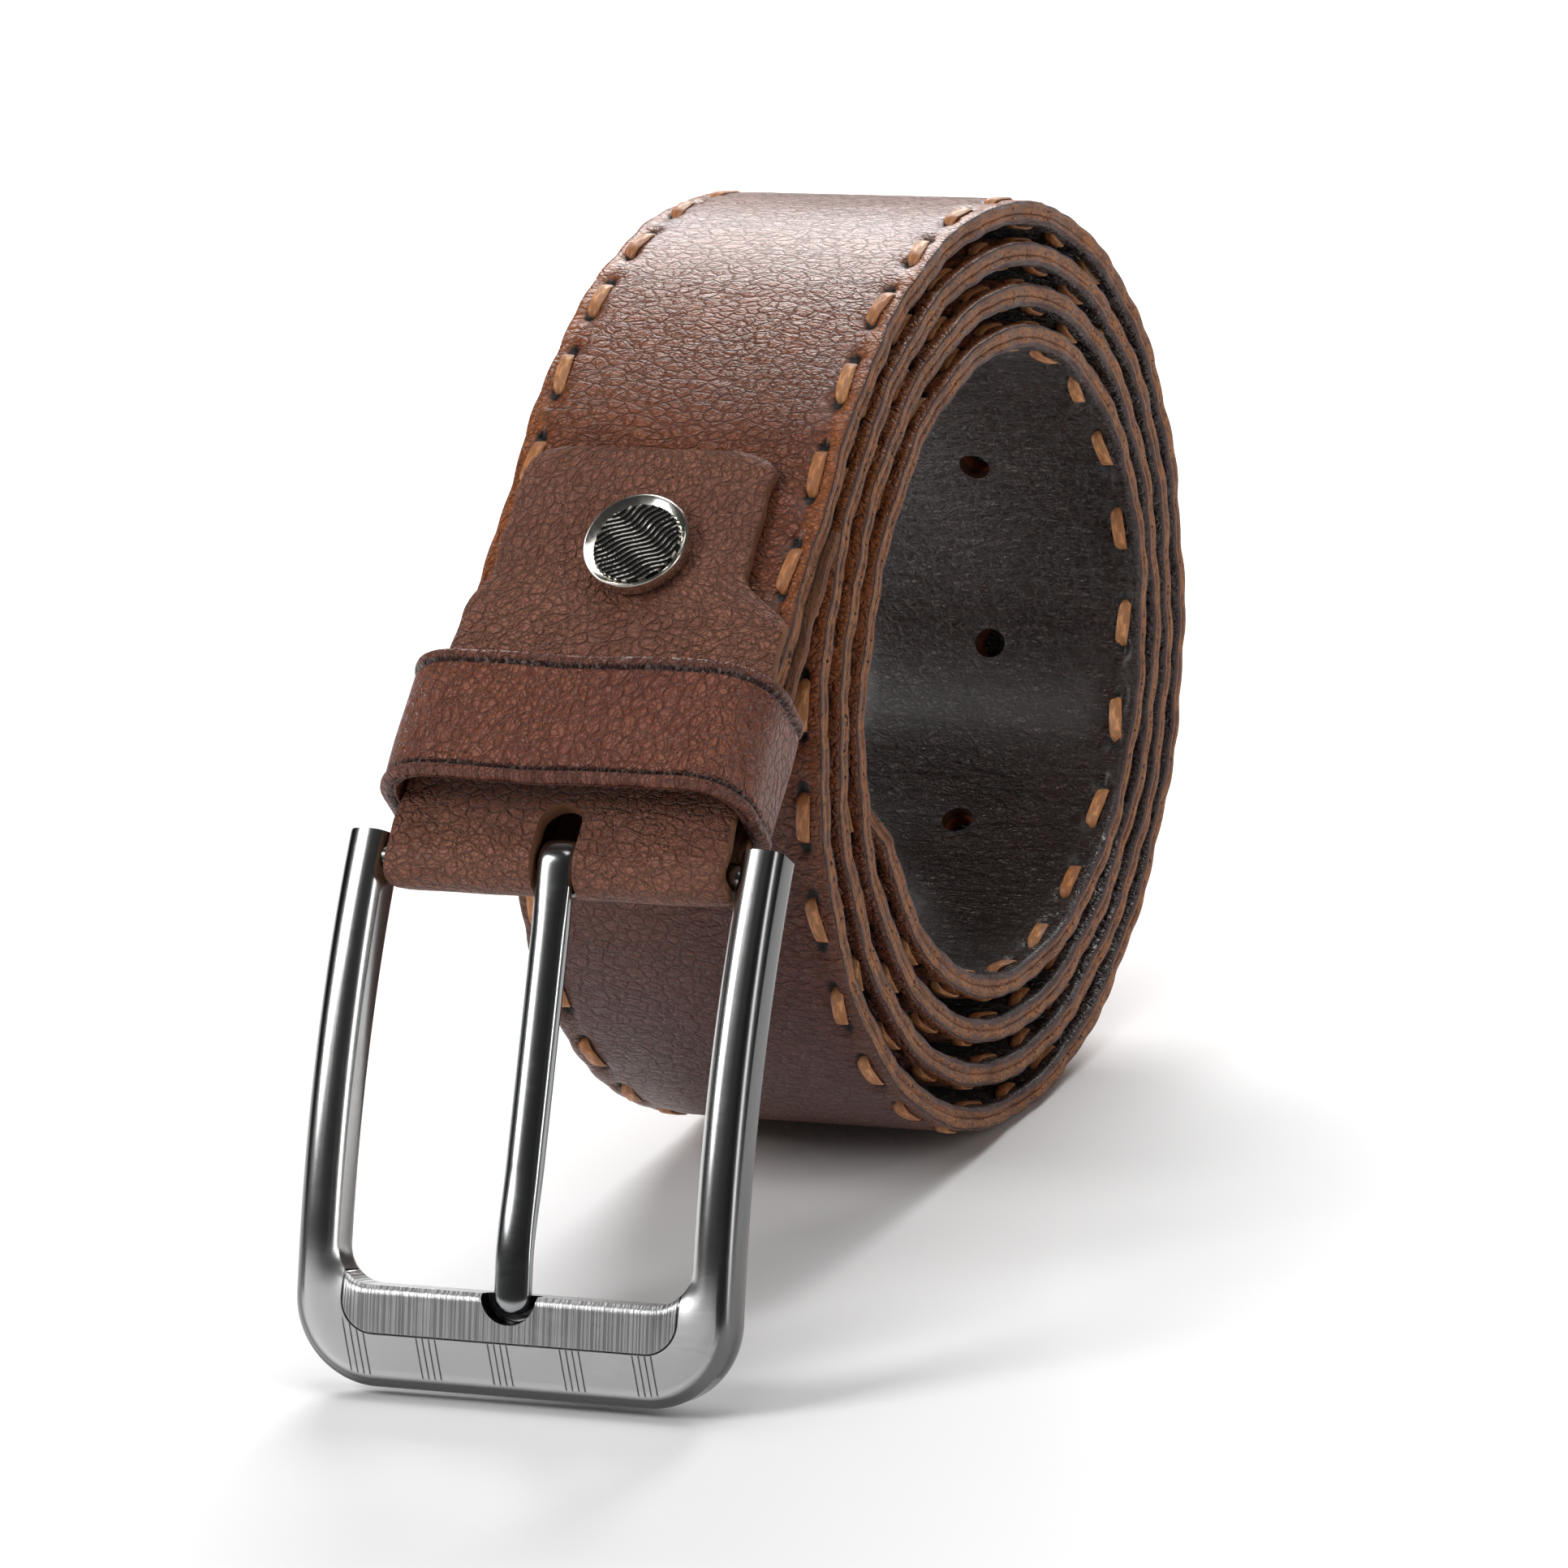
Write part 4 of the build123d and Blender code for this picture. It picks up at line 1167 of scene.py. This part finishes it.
grain_leather = strap_face_finish(
    "grain leather", pebble=(0.180, 0.045, 0.016, 1), painted_crease_shade=(0.040, 0.009, 0.005, 1),
    light=(0.270, 0.076, 0.025, 1), outside=(0.38, 0.110, 0.024, 1),
    low_front_tone=(0.062, 0.014, 0.012, 1), gloss=0.33, depth=0.5 * MM, wrinkles=620.0, wrinkled=1.3,
    shine=0.35)
lining_leather = strap_face_finish(
    "lining leather", pebble=(0.026, 0.010, 0.006, 1), painted_crease_shade=(0.004, 0.002, 0.001, 1),
    light=(0.048, 0.018, 0.010, 1), outside=(0.036, 0.014, 0.008, 1),
    low_front_tone=(0.026, 0.010, 0.006, 1), gloss=0.27, depth=1.2 * MM, wrinkles=400.0, wrinkled=5.0,
    shine=0.85)
print("strap faces: grain and lining leather")


# %% Cut edges of the strap
def edge_finish(name, lip, lip_colour, core, core_light):
    """Cut edge of a layer: a burnished lip of some width next to the face, then fibres."""
    material, tree, shader = new_finish(name)
    flat = leather_map(tree)
    fibres = use_group(tree, fibre_group, Vector=flat)
    across = calc(tree, "ABSOLUTE", add(tree, "SeparateXYZ", Vector=flat).outputs["Y"])
    depth = calc(tree, "SUBTRACT", across, STRAP_WIDTH / 2)
    wobble = calc(tree, "MULTIPLY", calc(tree, "SUBTRACT", fibres["Tone"], 0.5), 0.0009)
    depth = calc(tree, "ADD", depth, wobble)
    colour = tint(tree, ramp(tree, fibres["Tone"], 0.42, 0.58), core, core_light)
    colour = tint(tree, ramp(tree, depth, lip * 0.7, lip * 1.3, 1.0, 0.0), colour, lip_colour)
    # Painted shade in the pores of the cut edge.
    colour = tint(tree, fibres["Pore"], colour, (0.03, 0.012, 0.008, 1))
    feed(tree, shader.inputs["Base Color"], colour)
    feed(tree, shader.inputs["Roughness"], ramp(tree, fibres["Tone"], 0.4, 0.6, 0.5, 0.8))
    feed(tree, shader.inputs["Normal"], bump(tree, fibres["Height"], 0.00045))
    return material


grain_edge = edge_finish(
    "grain edge", lip=0.32 * MM, lip_colour=(0.060, 0.032, 0.034, 1), core=(0.15, 0.050, 0.018, 1),
    core_light=(0.40, 0.165, 0.065, 1))
lining_edge = edge_finish(
    "lining edge", lip=0.75 * MM, lip_colour=(0.100, 0.050, 0.042, 1), core=(0.14, 0.048, 0.020, 1),
    core_light=(0.36, 0.145, 0.060, 1))
print("strap edges: burnished lips and fibres")


# %% Matte leather of chape and keeper
def matte_finish(name, base, light, painted_crease_shade, gloss, pebble_scale, grooved=False):
    """Pored leather with little gloss and painted shade in its creases and pores. A grooved one has dusty
    lines inside its rims, painted dark as shade.
    """
    material, tree, shader = new_finish(name)
    flat = leather_map(tree)
    stretched = stretch(tree, flat, 1.2, 1.0)
    grain = use_group(tree, grain_group, Vector=stretched, Pebble_Scale=pebble_scale, Warp=0.0016)
    pores = add(tree, "TexVoronoi", Vector=flat, Scale=1500.0)
    dots = calc(tree, "SUBTRACT", 1.0, ramp(tree, pores.outputs["Distance"], 0.08, 0.26))
    pore = calc(tree, "MULTIPLY", dots, ramp(tree, noise(tree, flat, 240.0, 2.0), 0.45, 0.6))
    colour = tint(tree, ramp(tree, grain["Patch"], 0.3, 0.7), base, light)
    # Painted shade in the creases and the pores.
    colour = tint(tree, calc(tree, "MULTIPLY", grain["Crease"], 0.45), colour, painted_crease_shade)
    colour = tint(tree, calc(tree, "MULTIPLY", pore, 0.6), colour, painted_crease_shade)
    if grooved:
        away = calc(tree, "SUBTRACT", KEEPER_TALL / 2 - RIM, calc(
            tree, "ABSOLUTE", add(tree, "SeparateXYZ", Vector=flat).outputs["Y"]))
        line = calc(tree, "SUBTRACT", 1.0, ramp(tree, calc(tree, "ABSOLUTE", away), 0.12 * MM, 0.5 * MM))
        dust = calc(tree, "MULTIPLY", line, ramp(tree, noise(tree, flat, 2500.0, 1.0), 0.52, 0.6))
        # Painted shade in the pressed groove lines beside the rims.
        colour = tint(tree, calc(tree, "MULTIPLY", line, 0.85), colour, (0.022, 0.010, 0.010, 1))
        rim = ramp(tree, away, -0.3 * MM, -0.5 * MM)
        colour = tint(tree, calc(tree, "MULTIPLY", rim, 0.3), colour, (0.055, 0.022, 0.020, 1))
        colour = tint(tree, calc(tree, "MULTIPLY", dust, 0.6), colour, (0.22, 0.18, 0.17, 1))
    feed(tree, shader.inputs["Base Color"], colour)
    rough = calc(tree, "ADD", gloss, calc(tree, "MULTIPLY", grain["Patch"], 0.14))
    feed(tree, shader.inputs["Roughness"], rough)
    height = calc(tree, "SUBTRACT", grain["Height"], calc(tree, "MULTIPLY", pore, 0.8))
    feed(tree, shader.inputs["Normal"], bump(tree, height, 0.0004))
    return material


chape_leather = matte_finish(
    "chape leather", base=(0.185, 0.062, 0.034, 1), light=(0.270, 0.100, 0.054, 1),
    painted_crease_shade=(0.045, 0.016, 0.011, 1), gloss=0.48, pebble_scale=620.0)
keeper_finish = matte_finish(
    "keeper leather", base=(0.165, 0.044, 0.023, 1), light=(0.255, 0.078, 0.038, 1),
    painted_crease_shade=(0.045, 0.014, 0.011, 1), gloss=0.38, pebble_scale=560.0, grooved=True)
print("chape and keeper leather")

# %% Raw edge of chape and lace thread
raw_edge, tree, shader = new_finish("raw edge")
flat = leather_map(tree)
fibres = use_group(tree, fibre_group, Vector=flat)
fibre_tone = ramp(tree, fibres["Tone"], 0.35, 0.65)
colour = tint(tree, fibre_tone, (0.10, 0.036, 0.016, 1), (0.26, 0.105, 0.045, 1))
feed(tree, shader.inputs["Base Color"], colour)
feed(tree, shader.inputs["Roughness"], ramp(tree, fibres["Tone"], 0.3, 0.7, 0.6, 0.85))
feed(tree, shader.inputs["Normal"], bump(tree, fibres["Height"], 0.00025))

thread_finish, tree, shader = new_finish("waxed lace")
flat = leather_map(tree)
strand = noise(tree, stretch(tree, flat, 500.0, 5200.0), 1.0, 3.0, 0.6)
where = add(tree, "TexCoord").outputs["Object"]
dye = noise(tree, where, 130.0, 2.0)
colour = tint(tree, ramp(tree, dye, 0.35, 0.65), (0.50, 0.185, 0.055, 1), (0.68, 0.31, 0.12, 1))
# Painted shade between the strands of the lace.
colour = tint(tree, ramp(tree, strand, 0.45, 0.62, 0.55, 0.0), colour, (0.14, 0.05, 0.018, 1))
feed(tree, shader.inputs["Base Color"], colour)
feed(tree, shader.inputs["Roughness"], ramp(tree, strand, 0.3, 0.7, 0.62, 0.42))
feed(tree, shader.inputs["Normal"], bump(tree, strand, 0.25 * MM))
print("raw edge and waxed lace")

# %% [markdown]
# ## Metal finishes
#
# The frame is polished gunmetal that mirrors the studio, with a painted dark reflection on the bevel and
# a satin foot: fine upright ribs above the border line and five groups of four slanted engraved lines in
# the band below it, their grooves painted dark as shade. All of these are masks worked out from the
# frame's flat UV map. The prong is darker chrome, the stud's rim is bright nickel and its field is
# blackened.


# %% Metals
def metal_finish(name, colour, gloss, scuffed):
    """Metal of a plain colour, whose scuffs are darker and rougher; returns it, its tree and shader."""
    material, tree, shader = new_finish(name)
    where = add(tree, "TexCoord").outputs["Object"]
    scuff = use_group(tree, scuff_group, Vector=where, Scale=140.0)["Scuff"]
    dark = (colour[0] * 0.75, colour[1] * 0.75, colour[2] * 0.75, 1)
    feed(tree, shader.inputs["Base Color"], tint(tree, calc(tree, "MULTIPLY", scuff, 0.6), colour, dark))
    feed(tree, shader.inputs["Roughness"], calc(tree, "ADD", gloss, calc(tree, "MULTIPLY", scuff, scuffed)))
    shader.inputs["Metallic"].default_value = 1.0
    return material, tree, shader


bright_nickel, tree, shader = metal_finish("bright nickel", (0.72, 0.69, 0.63, 1), 0.16, 0.12)
blackened, tree, shader = metal_finish("blackened nickel", (0.78, 0.75, 0.69, 1), 0.2, 0.15)
crest = ramp(tree, add(tree, "SeparateXYZ", Vector=leather_map(tree)).outputs["X"], 0.35, 0.7)
polished = shader.inputs["Base Color"].links[0].from_socket
feed(tree, shader.inputs["Base Color"], tint(tree, crest, (0.012, 0.012, 0.012, 1), polished))
feed(tree, shader.inputs["Roughness"], ramp(tree, crest, 0.0, 1.0, 0.5, 0.2))
dark_chrome, tree, shader = metal_finish("dark chrome", (0.34, 0.345, 0.35, 1), 0.17, 0.06)
screw_metal, tree, shader = metal_finish("screw nickel", (0.5, 0.49, 0.46, 1), 0.28, 0.2)

print("turned parts and prong: nickel, blackened nickel and dark chrome")

# %% Polished gunmetal: where the foot's zones lie
# `inwards` is the distance from the frame's outer outline, so that bevel, satin band, border line and
# ribs all follow the round corners. They fade out up the arms.
BEVEL_FROM, BEVEL_TO = 0.9 * MM, 1.4 * MM
BORDER_AT = 5.85 * MM
LINE_LEAN, GROUP_STEP, GROUP_START, LINE_STEP = 0.22, 8.3 * MM, 20.6 * MM, 0.72 * MM
gunmetal, tree, shader = metal_finish("polished gunmetal", (0.46, 0.46, 0.455, 1), 0.2, 0.06)
flat = add(tree, "SeparateXYZ", Vector=leather_map(tree))
left_right, up_foot = flat.outputs["X"], flat.outputs["Y"]
off_middle = calc(tree, "ABSOLUTE", left_right)
past_side = calc(tree, "MAXIMUM", calc(tree, "SUBTRACT", off_middle, FRAME_HALF - OUTER_CORNER))
past_low = calc(tree, "MAXIMUM", calc(tree, "SUBTRACT", OUTER_CORNER, up_foot))
squares = calc(tree, "ADD", calc(tree, "MULTIPLY", past_side, past_side),
               calc(tree, "MULTIPLY", past_low, past_low))
inwards = calc(tree, "SUBTRACT", OUTER_CORNER, calc(tree, "SQRT", squares))
up_arms = ramp(tree, up_foot, 9 * MM, 17 * MM, 1.0, 0.0)
in_band = calc(tree, "MULTIPLY", calc(tree, "MULTIPLY", ramp(tree, inwards, 1.3 * MM, 1.6 * MM),
                                      ramp(tree, inwards, 5.7 * MM, 5.8 * MM, 1.0, 0.0)), up_arms)
from_border = calc(tree, "ABSOLUTE", calc(tree, "SUBTRACT", inwards, BORDER_AT))
border = calc(tree, "MULTIPLY", ramp(tree, from_border, 0.06 * MM, 0.16 * MM, 1.0, 0.0), up_arms)

# %% Polished gunmetal: ribs and engraved lines
ribs = noise(tree, add(tree, "CombineXYZ", X=left_right).outputs[0], 2700.0, 1.0, 0.6)
rib_zone = calc(tree, "MULTIPLY", ramp(tree, inwards, 5.9 * MM, 6.0 * MM), up_arms)
rib = calc(tree, "MULTIPLY", ramp(tree, ribs, 0.46, 0.54), rib_zone)
slanted = calc(tree, "ADD", left_right, calc(tree, "MULTIPLY", up_foot, LINE_LEAN))
in_step = calc(tree, "FLOORED_MODULO", calc(tree, "ADD", slanted, GROUP_START), GROUP_STEP)
group_at = calc(tree, "SUBTRACT", in_step, GROUP_STEP / 2)
in_line = calc(tree, "FLOORED_MODULO", group_at, LINE_STEP)
line_at = calc(tree, "ABSOLUTE", calc(tree, "SUBTRACT", in_line, LINE_STEP / 2))
line = calc(tree, "MULTIPLY", ramp(tree, line_at, 0.05 * MM, 0.12 * MM, 1.0, 0.0),
            ramp(tree, calc(tree, "ABSOLUTE", group_at), 1.40 * MM, 1.46 * MM, 1.0, 0.0))
straight = ramp(tree, off_middle, 19 * MM, 19.2 * MM, 1.0, 0.0)
line = calc(tree, "MULTIPLY", calc(tree, "MULTIPLY", line, in_band), straight)
line = calc(tree, "MAXIMUM", line, border)
brushed = noise(tree, add(tree, "CombineXYZ", X=calc(tree, "MULTIPLY", left_right, 60.0),
                          Y=calc(tree, "MULTIPLY", up_foot, 9000.0)).outputs[0], 1.0, 3.0)
satin = calc(tree, "MAXIMUM", in_band, calc(tree, "MULTIPLY", rib_zone, 0.6))

# %% Polished gunmetal: colour, gloss and relief of the zones
plain_colour = shader.inputs["Base Color"].links[0].from_socket
plain_rough = shader.inputs["Roughness"].links[0].from_socket
# Painted dark reflection on the outer bevel.
bevel_shade = ramp(tree, inwards, BEVEL_FROM, BEVEL_TO, 0.85, 0.0)
colour = tint(tree, bevel_shade, plain_colour, (0.1, 0.1, 0.1, 1))
colour = tint(tree, in_band, colour, (0.6, 0.6, 0.6, 1))
colour = tint(tree, rib_zone, colour, (0.62, 0.62, 0.62, 1))
# Painted shade in the rib grooves, the border line and the engraved lines.
colour = tint(tree, calc(tree, "MULTIPLY", rib, 0.62), colour, (0.2, 0.2, 0.205, 1))
colour = tint(tree, calc(tree, "MULTIPLY", line, 0.9), colour, (0.05, 0.05, 0.05, 1))
feed(tree, shader.inputs["Base Color"], colour)
rough = calc(tree, "ADD", plain_rough, calc(tree, "MULTIPLY", satin, 0.25))
feed(tree, shader.inputs["Roughness"], rough)
hairlines = calc(tree, "MULTIPLY", calc(tree, "MULTIPLY", brushed, in_band), 0.12)
cut_in = calc(tree, "ADD", calc(tree, "MULTIPLY", rib, 0.4), line)
feed(tree, shader.inputs["Normal"], bump(tree, calc(tree, "SUBTRACT", hairlines, cut_in), 0.08 * MM))
print("buckle frame: polished gunmetal with a satin foot")

# %% [markdown]
# ## Put the pieces together
#
# Each finished piece gets its materials, then its name, its moving body and the nodes it stands for,
# which are hidden. The small turned parts keep their own meshes and only get a better finish.


# %% Materials and bodies
def dress(piece, *materials):
    """Give a piece its materials, in the order that its faces already count them."""
    for material in materials:
        piece.data.materials.append(material)


dress(strap_outer, grain_leather, grain_edge)
dress(strap_inner, lining_leather, lining_edge)
dress(laces["left"], thread_finish)
dress(laces["right"], thread_finish)
dress(chape, chape_leather, raw_edge)
dress(keeper, keeper_finish)
dress(cap, bright_nickel)
dress(inlay, blackened)
dress(buckle, gunmetal)
dress(prong, dark_chrome)
done(strap_outer, "strap_outer", "strap", ["strap_grain"], 60)
done(strap_inner, "strap_inner", "strap", ["strap_lining"], 60)
done(laces["left"], "lace_left", "strap", ["stitching_left"], 60)
done(laces["right"], "lace_right", "strap", ["stitching_right"], 60)
done(chape, "chape_fold", "strap", ["chape"], 60)
done(keeper, "keeper_strip", "keeper", ["keeper_loop"], 60)
done(cap, "stud_dome", "strap", ["stud_cap"])
done(inlay, "stud_field", "strap", ["stud_inlay"])
done(buckle, "buckle_cast", "buckle", ["buckle_frame"], 50)
done(prong, "prong_bar", "prong", ["prong"], 60)

# %% Turned parts, and the spent bending curves
KEPT = {"stud_barrel": screw_metal, "stud_screw": screw_metal, "buckle_bar": dark_chrome,
        "keeper_staples": screw_metal}
for name, material in KEPT.items():
    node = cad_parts[name]
    if len(node.data.materials) == 0:
        node.data.materials.append(material)
    for slot in node.material_slots:
        slot.link = "OBJECT"
        slot.material = material
for curve in (roll_curve, fold_curve, keeper_curve, frame_curve):
    bpy.data.objects.remove(curve)
print("kept as they are:", ", ".join(KEPT))

# %% [markdown]
# ## Floor, light and camera
#
# The belt stands on a plain white floor. A light above and behind gives the top of the roll its gloss, a
# soft one overhead fills the folds, and a key from the front left models the face and throws the shadow
# back to the right. Two dark cards at the sides give the polished buckle something to mirror.

# %% Floor
bpy.ops.object.select_all(action="DESELECT")
FLOOR_WIDE = 12
bpy.ops.mesh.primitive_plane_add(size=FLOOR_WIDE, location=(0, 0, 0))
floor = bpy.context.active_object
floor.name = "floor"
white, tree, shader = new_finish("white floor")
shader.inputs["Base Color"].default_value = (0.93, 0.93, 0.93, 1)
shader.inputs["Roughness"].default_value = 0.7
shader.inputs["Specular IOR Level"].default_value = 0.15
floor.data.materials.append(white)
print("floor", FLOOR_WIDE, "m wide")


# %% Lights
def soft_light(name, place_at, look_at, size, power):
    """A rectangular soft box that faces a point."""
    data = bpy.data.lights.new(name, "AREA")
    data.shape = "RECTANGLE"
    data.size, data.size_y = size
    data.energy = power
    light = bpy.data.objects.new(name, data)
    light.location = place_at
    light.rotation_euler = (Vector(look_at) - Vector(place_at)).to_track_quat("-Z", "Y").to_euler()
    bpy.context.collection.objects.link(light)


centre = Vector((0, 0, 0.055))
soft_light("overhead", (0.05, 0.05, 0.85), centre, (0.6, 0.6), 3.0)
soft_light("rear top", (-0.15, 0.75, 0.55), centre, (0.7, 0.4), 10.0)
soft_light("key", (-0.6, -0.6, 0.6), centre, (0.3, 0.5), 5.5)
soft_light("right strip", (0.8, -0.25, 0.3), centre, (0.12, 0.6), 1.6)
print(len(bpy.data.lights), "soft lights")


# %% Dark cards
def card(name, place_at, look_at, size, shade):
    """A flat board that shows in reflections."""
    bpy.ops.object.select_all(action="DESELECT")
    bpy.ops.mesh.primitive_plane_add(size=1)
    board = bpy.context.active_object
    board.name = name
    board.scale = (size[0], size[1], 1)
    board.rotation_euler = (Vector(look_at) - Vector(place_at)).to_track_quat("Z", "Y").to_euler()
    board.location = place_at
    bpy.ops.object.transform_apply(location=True, rotation=True, scale=True)
    material, tree, shader = new_finish(name)
    shader.inputs["Base Color"].default_value = (shade, shade, shade, 1)
    shader.inputs["Roughness"].default_value = 0.9
    board.data.materials.append(material)
    board.visible_camera = False
    board.visible_shadow = False


card("left dark card", (-0.5, -0.35, 0.12), centre, (0.12, 0.5), 0.06)
card("right dark card", (0.42, -0.6, 0.12), centre, (0.1, 0.5), 0.06)

# %% Surroundings
# The studio's walls are dim near the floor and bright high up, so polished metal shows a soft gradient.
world = bpy.data.worlds.new("studio")
world.use_nodes = True
sky = world.node_tree
height = add(sky, "SeparateXYZ", Vector=add(sky, "TexCoord").outputs["Generated"]).outputs["Z"]
shade = ramp(sky, height, -0.1, 0.75, 0.38, 0.95)
feed(sky, sky.nodes["Background"].inputs["Strength"], shade)
bpy.context.scene.world = world
bpy.context.scene.view_settings.view_transform = "Standard"
print("surroundings from dim to bright")

# %% Camera
AZIMUTH, ELEVATION, ROLL_TILT = radians(23.40), radians(15.75), radians(-3.72)
DISTANCE, LENS = 1.0, 199.0
AIM = Vector((-9.56 * MM, axis_y, axis_z - 14.14 * MM))
back = Vector((sin(AZIMUTH) * cos(ELEVATION), -cos(AZIMUTH) * cos(ELEVATION), sin(ELEVATION)))
side = (-back).cross(Vector((0, 0, 1))).normalized()
top = side.cross(-back)
tilted_side = side * cos(ROLL_TILT) + top * sin(ROLL_TILT)
tilted_top = top * cos(ROLL_TILT) - side * sin(ROLL_TILT)
camera_data = bpy.data.cameras.new("camera")
camera_data.lens = LENS
camera_data.sensor_width = 36.0
camera_data.clip_end = 50
camera = bpy.data.objects.new("camera", camera_data)
turned = Matrix((tilted_side, tilted_top, back)).transposed().to_4x4()
camera.matrix_world = Matrix.Translation(AIM + back * DISTANCE) @ turned
bpy.context.collection.objects.link(camera)
bpy.context.scene.camera = camera
print(f"camera {DISTANCE} m away, {LENS:.0f} mm lens")
